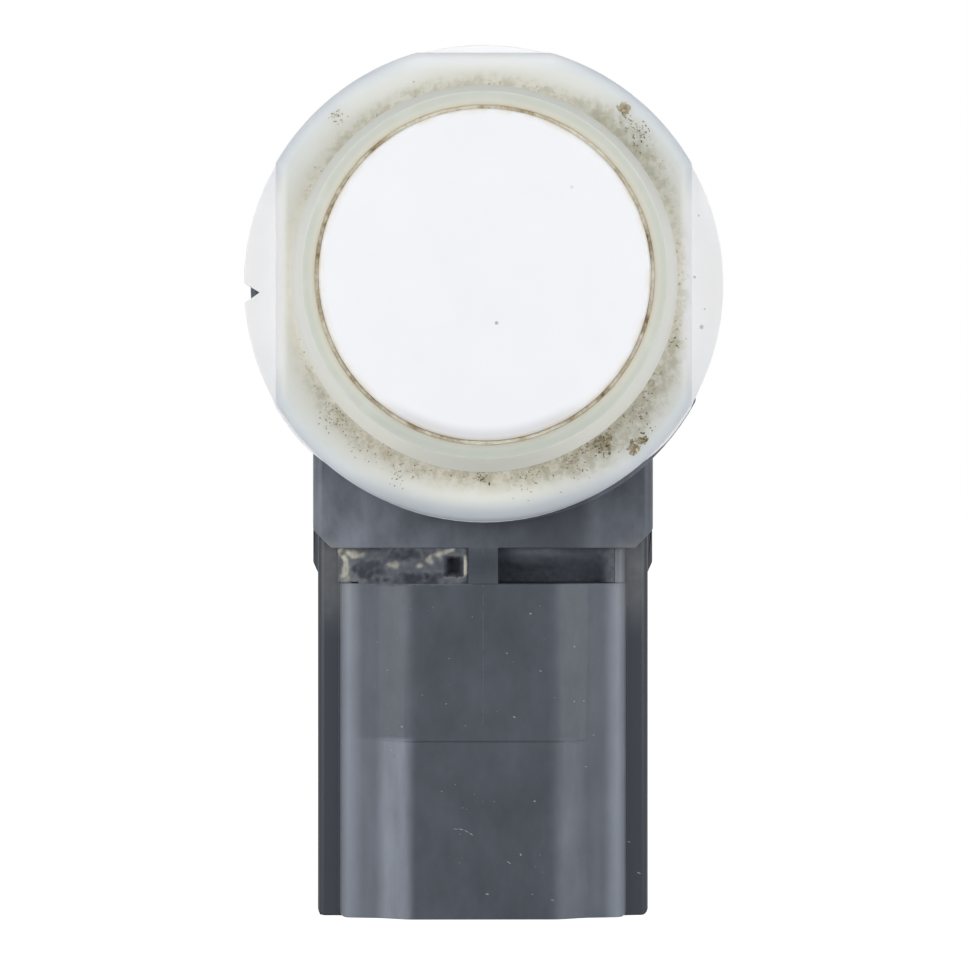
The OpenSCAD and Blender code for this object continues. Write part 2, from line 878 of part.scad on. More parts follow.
module transformer_room(grow) {
    transformer_base(grow);
    behind_board(transformer_at)
        cylinder(d = core_d + 2 * grow, h = transformer_base_t + 2 * core_end_t + coil_h + grow);
}

module potting() {
    color([0.16, 0.16, 0.17]) difference() {
        disc(cavity_r - fill_fit, y_board_back, y_rear - potting_recess);
        transformer_room(fill_fit);
        supply_capacitor(fill_fit);
        protection_diode(fill_fit);
        chip_capacitors(fill_fit);
        for (side = [-1, 1]) {
            lead(side, fill_fit);
        }
        for (i = [-1, 0, 1]) {
            terminal(i, pin_fit);
        }
    }
}

housing();
retaining_ring();
decoupling_ring();
membrane_cup();
piezo_disc();
damping_pad();
cup_fill();
signal_lead();
ground_lead();
circuit_board();
sensor_chip();
chip_resistors();
chip_capacitors();
supply_capacitor();
protection_diode();
transformer_base();
transformer_core();
transformer_coil();
terminal_supply();
terminal_signal();
terminal_ground();
potting();
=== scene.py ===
import math
import random
from functools import reduce

import bpy
from mathutils import Matrix, Vector, noise as turbulence
from mathutils.bvhtree import BVHTree


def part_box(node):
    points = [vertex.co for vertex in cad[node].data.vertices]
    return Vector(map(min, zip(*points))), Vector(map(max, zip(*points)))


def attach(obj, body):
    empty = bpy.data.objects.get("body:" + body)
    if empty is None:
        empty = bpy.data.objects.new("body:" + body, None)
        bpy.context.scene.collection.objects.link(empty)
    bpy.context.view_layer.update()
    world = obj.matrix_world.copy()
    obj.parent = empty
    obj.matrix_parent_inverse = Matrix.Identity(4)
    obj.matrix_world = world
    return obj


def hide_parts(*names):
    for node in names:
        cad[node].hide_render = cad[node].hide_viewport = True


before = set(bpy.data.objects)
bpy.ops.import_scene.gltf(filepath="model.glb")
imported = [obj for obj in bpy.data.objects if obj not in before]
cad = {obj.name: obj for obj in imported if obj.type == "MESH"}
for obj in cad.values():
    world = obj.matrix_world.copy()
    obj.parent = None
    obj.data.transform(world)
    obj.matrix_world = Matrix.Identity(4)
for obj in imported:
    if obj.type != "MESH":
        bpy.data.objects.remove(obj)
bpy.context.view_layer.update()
mm = 0.001
# Tolerance in mm for finding the points of a face
hair = 0.01
print("frame loaded with", len(cad), "solids")


# Camera: almost straight on, 0.4 degrees from the left, level with the flange's lower part

view = {
    "place": (-1.04 * mm, -145.6 * mm, -9.83 * mm),
    "turn": (math.radians(90), 0, math.radians(-0.41)),
    "lens": 111.06,
    "sensor": 36,
    "nearest": 0.01,
}

scene = bpy.context.scene
scene.view_settings.view_transform = "Standard"
bpy.ops.object.camera_add(location=view["place"], rotation=view["turn"])
camera = bpy.context.object
camera.data.lens = view["lens"]
camera.data.sensor_width = view["sensor"]
camera.data.clip_start = view["nearest"]
scene.camera = camera
print("camera set")


# Small tools for objects

weld = {"turned": 0.002 * mm, "copied": 0.001 * mm}


def clearSelection():
    if bpy.context.mode != "OBJECT":
        bpy.ops.object.mode_set(mode="OBJECT")
    bpy.ops.object.select_all(action="DESELECT")


def pickUp(piece):
    clearSelection()
    piece.select_set(True)
    bpy.context.view_layer.objects.active = piece


def addPiece(name, mesh):
    piece = bpy.data.objects.new(name, mesh)
    scene.collection.objects.link(piece)
    pickUp(piece)
    return piece


def editAll():
    bpy.ops.object.mode_set(mode="EDIT")
    bpy.ops.mesh.select_all(action="SELECT")


def editDone():
    bpy.ops.object.mode_set(mode="OBJECT")


def modify(piece, kind, **settings):
    pickUp(piece)
    bpy.ops.object.modifier_add(type=kind)
    modifier = piece.modifiers[-1]
    for key, value in settings.items():
        setattr(modifier, key, value)
    bpy.ops.object.modifier_apply(modifier=modifier.name)


def smooth(piece, degrees):
    pickUp(piece)
    bpy.ops.object.shade_smooth_by_angle(angle=math.radians(degrees))


def faceOut(piece):
    pickUp(piece)
    editAll()
    bpy.ops.mesh.normals_make_consistent(inside=False)
    editDone()


def hold(piece, slot, material, *replaced):
    piece.data.materials.clear()
    piece.data.materials.append(material)
    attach(piece, "root")
    if replaced:
        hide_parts(*replaced)
    print(piece.name, "has", len(piece.data.polygons), "faces")


def filletCorner(before, corner, after, radius, segments):
    p = Vector(corner)
    toBefore = (Vector(before) - p).normalized()
    toAfter = (Vector(after) - p).normalized()
    half = toBefore.angle(toAfter) / 2
    reach = radius / math.tan(half)
    centre = p + (toBefore + toAfter).normalized() * radius / math.sin(half)
    start = p + toBefore * reach - centre
    turn = start.angle_signed(p + toAfter * reach - centre)
    points = []
    for i in range(segments + 1):
        a = -turn * i / segments
        c, s = math.cos(a), math.sin(a)
        points.append(centre + Vector((start.x * c - start.y * s, start.x * s + start.y * c)))
    return points


# Corners are (radius, station on the axis, corner radius) in mm
def softProfile(corners, segments, closed):
    count = len(corners)
    points = []
    for i, (r, y, radius) in enumerate(corners):
        atEnd = not closed and i in (0, count - 1)
        if radius and not atEnd:
            before = corners[i - 1][:2]
            after = corners[(i + 1) % count][:2]
            points += filletCorner(before, (r, y), after, radius, segments)
        else:
            points.append(Vector((r, y)))
    return points


# Turns a profile about the head's axis
def turnedPiece(name, settings, closed=True):
    points = softProfile(settings["corners"], settings["segments"], closed)
    mesh = bpy.data.meshes.new(name)
    edges = [(i, i + 1) for i in range(len(points) - 1)]
    if closed:
        edges.append((len(points) - 1, 0))
    mesh.from_pydata([(p.x * mm, p.y * mm, 0) for p in points], edges, [])
    piece = addPiece(name, mesh)
    editAll()
    bpy.ops.mesh.spin(steps=settings["steps"], angle=math.tau, center=(0, 0, 0), axis=(0, 1, 0))
    bpy.ops.mesh.select_all(action="SELECT")
    bpy.ops.mesh.remove_doubles(threshold=weld["turned"])
    bpy.ops.mesh.normals_make_consistent(inside=False)
    editDone()
    return piece


# A copy of a solid, with its loose triangles joined into whole faces
def mergedCopy(solid, name, flatAngle):
    mesh = cad[solid].data.copy()
    piece = addPiece(name, mesh)
    bpy.ops.mesh.customdata_custom_splitnormals_clear()
    editAll()
    bpy.ops.mesh.remove_doubles(threshold=weld["copied"])
    bpy.ops.mesh.dissolve_limited(angle_limit=math.radians(flatAngle))
    editDone()
    return piece


# Small tools for materials

def srgb(r, g, b):
    def toLinear(v):
        v /= 255
        return v / 12.92 if v <= 0.04045 else ((v + 0.055) / 1.055) ** 2.4
    return (toLinear(r), toLinear(g), toLinear(b), 1)


def isSocket(value):
    return isinstance(value, bpy.types.NodeSocket)


# Adds a node, to the tree that its inputs come from unless a tree is given
def node(kind, inputs, out=0, tree=None, **settings):
    tree = tree or next(value.id_data for value in inputs.values() if isSocket(value))
    made = tree.nodes.new("ShaderNode" + kind)
    for key, value in settings.items():
        setattr(made, key, value)
    for key, value in inputs.items():
        if isSocket(value):
            tree.links.new(value, made.inputs[key])
        else:
            made.inputs[key].default_value = value
    return made.outputs[out]


# A material, its shader and the place on the object in mm
def startFinish(name):
    material = bpy.data.materials.new(name)
    material.use_nodes = True
    tree = material.node_tree
    place = node("TexCoord", {}, "Object", tree)
    point = node("VectorMath", {0: place, "Scale": 1 / mm}, operation="SCALE")
    return material, tree.nodes["Principled BSDF"], point


def calc(operation, a, b=0.0):
    return node("Math", {0: a, 1: b}, operation=operation)


def times(*values):
    return reduce(lambda a, b: calc("MULTIPLY", a, b), values)


def plus(*values):
    return reduce(lambda a, b: calc("ADD", a, b), values)


# Distance in mm from a centre, seen along the head's axis
def away(point, centre=(0, 0, 0)):
    offset = node("VectorMath", {0: point, 1: centre}, operation="SUBTRACT")
    flat = node("VectorMath", {0: offset, 1: (1, 0, 1)}, operation="MULTIPLY")
    return node("VectorMath", {0: flat}, "Value", operation="LENGTH")


def stretched(point, turn, scale):
    return node("Mapping", {"Vector": point, "Rotation": turn, "Scale": scale}, "Vector")


def cloud(point, scale, detail=3.0, rough=0.55):
    return node("TexNoise", {"Vector": point, "Scale": scale, "Detail": detail, "Roughness": rough}, "Fac")


# Zero at one value and one at the other, with a soft run between
def fade(value, zeroAt, oneAt):
    rising = zeroAt < oneAt
    inputs = {
        "Value": value, "From Min": min(zeroAt, oneAt), "From Max": max(zeroAt, oneAt),
        "To Min": 0 if rising else 1, "To Max": 1 if rising else 0,
    }
    return node("MapRange", inputs, "Result", interpolation_type="SMOOTHSTEP")


# Coordinates in mm by name, with the distances off the middle, off the level and off the head's axis
def places(point):
    x, y, z = node("SeparateXYZ", {0: point}).node.outputs
    side, level = calc("ABSOLUTE", x), calc("ABSOLUTE", z)
    return {"x": x, "y": y, "z": z, "side": side, "level": level, "radius": away(point)}


# A zone is a list of soft runs: which coordinate, where it is zero and where it is one
def zone(at, runs):
    return times(*[fade(at[key], zeroAt, oneAt) for key, zeroAt, oneAt in runs])


# Round spots: share, centre, where each ends and where it is full
def spots(point, entries):
    return [times(fade(away(point, centre), end, full), share) for share, centre, end, full in entries]


def spread(value, low, high):
    return node("MapRange", {"Value": value, "To Min": low, "To Max": high}, "Result")


def ramp(value, stops):
    low, high = stops[0][0], stops[-1][0]
    share = node("MapRange", {"Value": value, "From Min": low, "From Max": high}, "Result")
    colour = node("ValToRGB", {"Fac": share}, "Color")
    elements = colour.node.color_ramp.elements
    while len(elements) < len(stops):
        elements.new(0.5)
    for element, (at, tone) in zip(elements, stops):
        element.position = (at - low) / (high - low)
        element.color = srgb(*tone)
    return colour


def blend(amount, base, over):
    return node("Mix", {"Factor": amount, "A": base, "B": over}, "Result", data_type="RGBA")


def tint(amount, base, over):
    return blend(amount, base if isSocket(base) else srgb(*base), srgb(*over))


def relief(shader, height, depth, strength):
    bump = node("Bump", {"Strength": strength, "Distance": depth, "Height": height}, "Normal")
    height.id_data.links.new(bump, shader.inputs["Normal"])


def paint(shader, colour, roughness):
    links = colour.id_data.links
    links.new(colour, shader.inputs["Base Color"])
    links.new(roughness, shader.inputs["Roughness"])


# The tone that each flake or lump has as its own attribute
def ownTone(material):
    return node("Attribute", {}, "Fac", material.node_tree, attribute_name="tone")


# Finishes

siliconeLook = {
    # radius and colour: the sleeve's cone is lighter than the flat lip, being cleaner and partly painted
    # light, and the flange's inner corner is painted light against the shade there
    "lip": [
        (7.9, (206, 196, 168)), (8.02, (218, 214, 196)), (8.2, (216, 216, 203)), (8.36, (203, 207, 196)),
        (8.56, (201, 205, 195)), (8.66, (236, 238, 230)), (8.95, (240, 241, 234)), (9.25, (232, 232, 222)),
    ],
    "flange": [
        (9.3, (248, 246, 236)), (9.55, (232, 229, 218)), (9.9, (226, 225, 216)), (10.4, (227, 228, 222)),
        (10.9, (227, 230, 227)), (11.3, (221, 227, 230)), (11.75, (214, 222, 230)),
    ],
    "lipToFlange": [("y", -0.8, -0.15)],
    "milk": (232, 235, 234),
    "milkShare": 0.3,
    # colour, share and zone: painted light on the side flats, as if lit from behind; the lower lip, darker
    # towards the bottom; painted light on the lower cone of the sleeve and painted shade on its upper cone;
    # painted shade on the lower rim of the flange and painted light on its upper rim
    "zones": [
        ((249, 250, 252), 1.0, [("side", 9.5, 10.1), ("level", 5.5, 3.5), ("y", -1.0, -0.15)]),
        ((178, 186, 178), 0.42, [("radius", 8.68, 8.6), ("z", -4.5, -8.0)]),
        ((246, 246, 233), 0.9, [("radius", 8.6, 8.7), ("y", -1.0, -2.0), ("z", -3.0, -8.0)]),
        ((208, 211, 202), 0.5, [("radius", 8.6, 8.7), ("y", -1.0, -2.0), ("z", 0.0, 5.0)]),
        ((158, 166, 174), 0.56, [("radius", 10.4, 11.3), ("z", -8.6, -11.0), ("y", -1.0, -0.15)]),
        ((244, 247, 250), 0.6, [("z", 10.2, 11.0), ("y", -1.0, -0.15)]),
    ],
    "onFlange": [("y", -1.0, -0.15)],
    "near": [("radius", 10.7, 9.45)],
    "wide": [("radius", 11.6, 10.0)],
    "low": [("z", -5.0, -9.0)],
    # share of dirt near the sleeve, everywhere and by zone, and in round spots
    "leastDirt": 0.05,
    "nearDirt": [(0.1, [("level", 1.5, 6.5)]), (0.05, [("z", 6.0, 9.0)]), (0.07, [("x", 8.2, 9.4)])],
    "nearSpots": [(0.04, (-6.8, 0, -7.0), 4.5, 1.0)],
    "wideSpots": [(0.17, (6.8, 0, -7.0), 6.5, 1.5), (0.15, (7.2, 0, 6.8), 4.5, 1.0)],
    "film": (138, 137, 114),
    "stain": (198, 190, 156),
    "stainShare": 0.3,
    "smear": [(0.38, (168, 154, 124)), (0.5, (164, 158, 118)), (0.62, (156, 155, 130))],
    "smearShare": 0.4,
    "crumbs": (116, 105, 70),
    "crumbShare": 0.65,
    "crumbsTo": [("radius", 10.3, 9.5)],
    "rough": (0.34, 0.58),
    "through": {
        "Subsurface Weight": 0.5, "Subsurface Radius": (1.2, 1.2, 1.15), "Subsurface Scale": 1.0 * mm,
    },
}


def makeSilicone(look):
    material, shader, point = startFinish("milkySilicone")
    at = places(point)
    lip, flange = ramp(at["radius"], look["lip"]), ramp(at["radius"], look["flange"])
    clean = blend(zone(at, look["lipToFlange"]), lip, flange)
    milky = fade(cloud(point, 0.4, 3), 0.5, 0.75)
    body = tint(times(milky, look["milkShare"]), clean, look["milk"])
    # Painted light and shade laid on by zone, and the lower lip darkened
    for colour, share, runs in look["zones"]:
        body = tint(times(zone(at, runs), share), body, colour)

    # Dirt lies in the corner between sleeve and flange, thin at the side flats and thick at lower right
    onFlange, near, wide = (zone(at, look[key]) for key in ("onFlange", "near", "wide"))
    ragged = fade(cloud(point, 1.5, 6, 0.72), 0.32, 0.68)
    byZone = [times(zone(at, runs), share) for share, runs in look["nearDirt"]]
    atSleeve = plus(*byZone, *spots(point, look["nearSpots"]), look["leastDirt"])
    atCorners = plus(*spots(point, look["wideSpots"]))
    dirt = times(plus(times(near, atSleeve), times(wide, atCorners)), onFlange)
    filmed = tint(times(dirt, spread(ragged, 0.5, 1.4)), body, look["film"])
    caked = times(near, onFlange, zone(at, look["low"]), ragged, look["stainShare"])
    stained = tint(caked, filmed, look["stain"])
    grain = plus(cloud(point, 2.2, 5, 0.66), times(dirt, 0.4), times(ragged, 0.1))
    smear = times(fade(grain, 0.52, 0.74), fade(dirt, 0.02, 0.16))
    hue = ramp(cloud(point, 0.5, 3), look["smear"])
    smeared = blend(times(smear, look["smearShare"]), stained, hue)
    patch = fade(cloud(point, 0.9, 3, 0.6), 0.42, 0.62)
    fine = plus(cloud(point, 5.5, 4, 0.62), times(dirt, 0.3), times(patch, 0.1))
    crumbs = times(fade(fine, 0.66, 0.78), fade(dirt, 0.03, 0.15), patch)
    crumbs = times(crumbs, zone(at, look["crumbsTo"]), look["crumbShare"])
    speckled = tint(crumbs, smeared, look["crumbs"])
    paint(shader, speckled, spread(cloud(point, 3, 4), *look["rough"]))
    for key, value in look["through"].items():
        shader.inputs[key].default_value = value
    relief(shader, cloud(point, 2.4, 5, 0.6), 0.03 * mm, 0.4)
    return material


paintLook = {
    "coat": ((240, 242, 246), (245, 247, 250)),
    # painted shade along the lower edge of the membrane, greyer towards the bottom
    "lowEdgeShade": (206, 208, 213),
    "lowEdgeShadeShare": 0.7,
    "lowEdge": [("radius", 7.05, 7.6), ("z", -5.6, -7.0)],
    "worn": (228, 216, 196),
    "wornShare": 0.6,
    "rounding": [("radius", 7.4, 7.82)],
    "rough": (0.32, 0.45),
    # place on the face, radius, colour
    "marks": [((0.55, 0, -2.28), 0.11, (172, 174, 174)), ((4.08, 0, 4.09), 0.11, (224, 226, 228))],
}


def makePaint(look):
    material, shader, point = startFinish("whitePaint")
    at = places(point)
    coat = tint(cloud(point, 0.35, 3), *look["coat"])
    # Painted shade along the membrane's lower edge
    coat = tint(times(zone(at, look["lowEdge"]), look["lowEdgeShadeShare"]), coat, look["lowEdgeShade"])
    worn = times(zone(at, look["rounding"]), fade(cloud(point, 1.1, 3), 0.3, 0.65))
    coat = tint(times(worn, look["wornShare"]), coat, look["worn"])
    for centre, size, colour in look["marks"]:
        coat = tint(fade(away(point, centre), size, size * 0.4), coat, colour)
    paint(shader, coat, spread(cloud(point, 1.5, 3), *look["rough"]))
    relief(shader, cloud(point, 1.6, 2), 0.012 * mm, 0.3)
    return material


whiteLook = {
    "tones": ((252, 252, 254), (254, 254, 255)),
    "haze": (245, 246, 249),
    "hazeShare": 0.5,
    "marks": (128, 124, 128),
    "markShare": 0.5,
    # place and radius of each mark
    "specks": [
        ((10.74, 0, -2.09), 0.14), ((10.4, 0, 0.37), 0.1), ((10.9, 0, -1.2), 0.06), ((10.6, 0, 3.4), 0.06),
    ],
    # the chip: place and radius, and the zone of its walls, which are coloured dark
    "chip": (66, 68, 86),
    "chipped": ((-11.3, 0, -0.39), 0.5),
    "chipWalls": [("y", 1.66, 1.72)],
    "rough": (0.42, 0.56),
}


def makeWhitePlastic(look):
    material, shader, point = startFinish("whiteMoulding")
    tone = tint(cloud(point, 0.6, 4), *look["tones"])
    hazy = fade(cloud(point, 0.25, 2), 0.5, 0.7)
    tone = tint(times(hazy, look["hazeShare"]), tone, look["haze"])
    worn = spread(cloud(point, 7, 3), 0.6, 1.4)
    for centre, size in look["specks"]:
        off = times(away(point, centre), worn)
        tone = tint(times(fade(off, size, size * 0.4), look["markShare"]), tone, look["marks"])
    centre, size = look["chipped"]
    inChip = fade(away(point, centre), size, size * 0.8)
    walls = times(inChip, zone(places(point), look["chipWalls"]))
    tone = tint(walls, tone, look["chip"])
    paint(shader, tone, spread(cloud(point, 2.5, 3), *look["rough"]))
    relief(shader, cloud(point, 3.5, 3), 0.012 * mm, 0.3)
    return material


blackLook = {
    "tones": ((17, 27, 40), (25, 35, 48)),
    # pale film: dust, also used as painted highlight on slopes and edges and painted light on the neck's left
    "film": (140, 147, 160),
    "dust": (140, 142, 142),
    # painted shade inside the windows
    "deep": (14, 16, 20),
    "windowShadeShare": 0.8,
    "rough": (0.36, 0.5),
    "front": [("y", 7.15, 6.9)],
    "neck": [("z", -13.2, -13.0)],
    "neckLeft": [("x", 4.5, -9.0)],
    "neckRight": [("x", 4.8, 5.8)],
    "slope": [("side", 3.15, 4.2)],
    "edge": [("side", 6.0, 6.85), ("side", 7.5, 6.95), ("z", -13.6, -15.4)],
    "belowStep": [("z", -22.6, -22.9)],
    "lowLeft": [("x", -5.6, -4.8), ("x", -3.35, -4.15)],
    "lowStrip": [("x", -6.8, -6.0), ("x", -4.8, -5.6)],
    "lowRight": [("x", 3.4, 4.2), ("x", 5.3, 4.5)],
    "windowEnds": [
        ("side", 6.45, 6.95), ("side", 8.45, 7.95), ("z", -18.0, -14.8), ("z", -12.4, -13.1), ("y", 9.0, 8.0),
    ],
    "inWindowShade": [
        ("y", 7.4, 8.6), ("y", 11.2, 10.9), ("z", -14.93, -14.87), ("z", -13.02, -13.08), ("side", 6.8, 6.72),
    ],
    # share of the pale film on each part of the front: dust, and on the slopes and edges also painted
    # highlight, on the neck's left also painted light
    "shares": {
        "middle": 0.115, "slope": 0.15, "edge": 0.46, "lowLeft": 0.44, "lowStrip": 0.1, "lowRight": 0.13,
        "neck": 0.1, "neckLeft": 0.4, "neckRight": 0.2,
    },
}


def makeBlackPlastic(look):
    material, shader, point = startFinish("blackMoulding")
    at = places(point)
    shares = look["shares"]

    def dustAndSheenOn(part, *factors):
        return times(zone(at, look[part]), *factors, shares[part])

    # Pale film on the front: dust, thin in the middle; on the sloped sides and rounded edges it is also
    # painted highlight, and on the neck's left painted light
    tone = tint(cloud(point, 0.5, 4, 0.6), *look["tones"])
    blots = cloud(stretched(point, (0, 0.5, 0), (0.5, 0.5, 0.3)), 1, 5, 0.6)
    blotch = spread(blots, -0.3, 2.3)
    traces = cloud(stretched(point, (0, 0.1, 0), (1.6, 1, 0.25)), 1, 5, 0.6)
    streak = spread(traces, 0.5, 1.5)
    lowDustAndSheen = plus(dustAndSheenOn("lowLeft", streak), dustAndSheenOn("lowStrip"), dustAndSheenOn("lowRight", streak))
    lowDustAndSheen = times(zone(at, look["belowStep"]), lowDustAndSheen)
    middleFilm = times(blotch, shares["middle"])
    panelDustAndSheen = plus(middleFilm, dustAndSheenOn("slope", streak), dustAndSheenOn("edge"), lowDustAndSheen)
    neckDustAndLight = times(blotch, plus(dustAndSheenOn("neckLeft"), dustAndSheenOn("neckRight"), shares["neck"]))
    onNeck = zone(at, look["neck"])
    onPanel = calc("SUBTRACT", 1, onNeck)
    film = plus(times(onPanel, panelDustAndSheen), times(onNeck, neckDustAndLight))
    hazy = tint(times(film, zone(at, look["front"])), tone, look["film"])

    # Dust beside the outer ends of the windows, and painted shade inside them
    caked = spread(cloud(point, 1.1, 4, 0.6), 0.1, 0.5)
    dusty = tint(times(zone(at, look["windowEnds"]), caked), hazy, look["dust"])
    deep = times(zone(at, look["inWindowShade"]), look["windowShadeShare"])
    dark = tint(deep, dusty, look["deep"])
    paint(shader, dark, spread(cloud(point, 1.2, 5, 0.65), *look["rough"]))
    relief(shader, cloud(point, 7, 4, 0.6), 0.01 * mm, 0.3)
    return material


tinLook = {"tones": ((176, 174, 168), (205, 204, 199)), "rough": (0.22, 0.42)}
resinLook = {"tones": ((36, 38, 42), (50, 52, 56)), "rough": (0.14, 0.32)}


def makeTin(look):
    material, shader, point = startFinish("tinnedTerminal")
    tone = tint(cloud(point, 2, 4), *look["tones"])
    paint(shader, tone, spread(cloud(point, 5, 4), *look["rough"]))
    shader.inputs["Metallic"].default_value = 1
    return material


def makeResin(look):
    material, shader, point = startFinish("pottingResin")
    tone = tint(cloud(point, 0.5, 5), *look["tones"])
    paint(shader, tone, spread(cloud(point, 0.9, 4), *look["rough"]))
    relief(shader, cloud(point, 0.4, 3), 0.08 * mm, 0.5)
    return material


# Stops of tone and colour
gritTones = [
    (0.0, (98, 90, 56)), (0.25, (132, 124, 86)), (0.5, (160, 143, 124)), (0.75, (184, 176, 148)),
    (1.0, (210, 206, 188)),
]
scuffTones = [(0.0, (84, 89, 98)), (0.6, (124, 129, 138)), (1.0, (176, 181, 188))]


def makeGrit(name, tones):
    material, shader, point = startFinish(name)
    varied = plus(ownTone(material), spread(cloud(point, 9, 2), -0.12, 0.12))
    paint(shader, ramp(varied, tones), spread(cloud(point, 12, 2), 0.75, 0.95))
    return material


gapTones = [
    (0.36, (128, 106, 76)), (0.44, (176, 161, 132)), (0.54, (208, 201, 181)), (0.68, (226, 223, 210)),
]


def makeGapDirt(tones):
    material, shader, point = startFinish("gapDirt")
    broad, fine = cloud(point, 0.7, 4, 0.6), cloud(point, 3.2, 4)
    patchy = plus(times(broad, 0.6), times(fine, 0.4))
    paint(shader, ramp(patchy, tones), spread(cloud(point, 8, 2), 0.7, 0.95))
    return material


mudTones = [
    (0.0, (40, 45, 54)), (0.35, (84, 89, 97)), (0.6, (116, 119, 122)), (0.8, (160, 159, 150)),
    (1.0, (198, 194, 178)),
]


def makeMud(tones):
    material, shader, point = startFinish("cakedMud")
    varied = plus(ownTone(material), spread(cloud(point, 3.0, 5, 0.65), -0.14, 0.14))
    paint(shader, ramp(varied, tones), spread(cloud(point, 9, 2), 0.75, 0.95))
    relief(shader, cloud(point, 8, 4, 0.6), 0.03 * mm, 0.6)
    return material


# What is sealed inside: two tones, roughness span, metal, grain size
innerLooks = {
    "piezoCeramic": ((206, 198, 170), (220, 213, 188), (0.5, 0.7), 0, 2.5),
    "greyFelt": ((96, 98, 100), (124, 126, 128), (0.85, 1.0), 0, 6.0),
    "sealingFill": ((198, 198, 192), (216, 215, 210), (0.3, 0.5), 0, 0.8),
    "brightCopper": ((184, 115, 72), (205, 134, 88), (0.25, 0.45), 1, 3.0),
    "boardLaminate": ((22, 78, 48), (34, 96, 60), (0.35, 0.55), 0, 1.6),
    "blackPackage": ((34, 34, 36), (48, 48, 50), (0.5, 0.7), 0, 4.0),
    "capacitorCeramic": ((150, 122, 84), (170, 140, 100), (0.4, 0.6), 0, 3.0),
    "canAluminium": ((188, 190, 193), (206, 208, 211), (0.25, 0.4), 1, 2.0),
    "coilFerrite": ((58, 56, 56), (76, 73, 72), (0.5, 0.75), 0, 4.0),
}


def makeInner(name):
    dark, light, (low, high), metal, scale = innerLooks[name]
    material, shader, point = startFinish(name)
    tone = tint(cloud(point, scale, 4), dark, light)
    paint(shader, tone, spread(cloud(point, scale * 2, 3), low, high))
    shader.inputs["Metallic"].default_value = metal
    return material


finish = {name: makeInner(name) for name in innerLooks}
finish["silicone"] = makeSilicone(siliconeLook)
finish["paint"] = makePaint(paintLook)
finish["whitePlastic"] = makeWhitePlastic(whiteLook)
finish["blackPlastic"] = makeBlackPlastic(blackLook)
finish["tin"] = makeTin(tinLook)
finish["resin"] = makeResin(resinLook)
finish["grit"] = makeGrit("roadGrit", gritTones)
finish["scuff"] = makeGrit("paleScuff", scuffTones)
finish["gapDirt"] = makeGapDirt(gapTones)
finish["mud"] = makeMud(mudTones)
print("finishes ready:", len(finish))


# Solids that stay as they are

carriedOver = {
    "piezo_disc": "piezoCeramic",
    "damping_pad": "greyFelt",
    "cup_fill": "sealingFill",
    "signal_lead": "brightCopper",
    "ground_lead": "brightCopper",
    "circuit_board": "boardLaminate",
    "sensor_chip": "blackPackage",
    "chip_resistors": "blackPackage",
    "chip_capacitors": "capacitorCeramic",
    "supply_capacitor": "canAluminium",
    "protection_diode": "blackPackage",
    "transformer_base": "blackPackage",
    "transformer_core": "coilFerrite",
    "transformer_coil": "brightCopper",
    "terminal_supply": "tin",
    "terminal_signal": "tin",
    "terminal_ground": "tin",
    "potting": "resin",
}
for solid, name in carriedOver.items():
    cad[solid].data.materials.clear()
    cad[solid].data.materials.append(finish[name])
print("carried-over solids finished:", len(carriedOver))


# Housing and white ring: the solids with their sharp edges broken

shell = {"flatAngle": 0.6, "edge": 0.07 * mm, "segments": 3, "sharpFrom": 18, "smoothTo": 50}
clamp = {
    "flatAngle": 0.6, "edge": 0.06 * mm, "segments": 3, "sharpFrom": 30, "smoothTo": 50,
    "ringRadius": 11.818, "skirtEnds": (-5.8, -5.4),
    "chipFrom": -11, "chipRadius": 11.3, "chipHalf": 0.8, "deeperChip": 0.15,
}
# Below the head: where the edges of skirt and apron lie, and the radii that they are drawn in to
skirt = {
    "radii": (11.85, 12.15), "stations": (1.5, 4.4), "below": -5.4,
    "apron": 11.78, "apronFade": (0, 8), "ring": 11.72, "ringFade": (7.4, 9.2),
}


def brokenEdges(piece, settings):
    faces = [tuple(face.vertices) for face in piece.data.polygons]
    before = BVHTree.FromPolygons([vert.co.copy() for vert in piece.data.vertices], faces)
    modify(
        piece, "BEVEL", width=settings["edge"], segments=settings["segments"], use_clamp_overlap=False,
        limit_method="ANGLE", angle_limit=math.radians(settings["sharpFrom"]),
    )
    # Where short edges cross, the break runs too far out and is brought back
    for vert in piece.data.vertices:
        nearest, _, _, off = before.find_nearest(vert.co)
        if off > settings["edge"]:
            vert.co = nearest
    smooth(piece, settings["smoothTo"])
    modify(piece, "WEIGHTED_NORMAL", mode="FACE_AREA", weight=90, keep_sharp=True)


# The panel's face, as moulded: flat, rounded slope, tilted strip
panel = {
    "face": 5.6, "flatHalf": 3.5, "slopeWide": 1.9, "slopeDeep": 0.6, "tilt": math.tan(math.radians(9)),
    "step": -22.8, "stepDeep": 0.12, "edge": 6.7, "shoulder": 7.2, "neck": 5.9, "neckEdge": -13.08,
    "top": -14.86,
    # wear: how much shallower the step is and how far it runs out, and how far the sides reach out
    "softer": 0.105, "ramp": 0.14, "wider": 0.28, "widens": (5.4, 6.6), "widest": 7.1,
    "offShoulder": 0.05, "sideRoot": 7.03, "foot": -31.5,
}


def smoothStep(value, low, high):
    t = max(0, min(1, (value - low) / (high - low)))
    return t * t * (3 - 2 * t)


def panelFace(x, z):
    if z > panel["neckEdge"]:
        return panel["neck"]
    if abs(x) > panel["edge"]:
        return panel["shoulder"]
    beyond = max(0, abs(x) - panel["flatHalf"])
    t = min(1, beyond / panel["slopeWide"])
    back = panel["stepDeep"] - panel["softer"] if z < panel["step"] else 0
    eased = back + t * t * (3 - 2 * t) * (panel["slopeDeep"] - back)
    bent = panel["tilt"] * panel["slopeWide"] * t * t * (t - 1)
    return panel["face"] + eased + bent + panel["tilt"] * max(0, beyond - panel["slopeWide"])


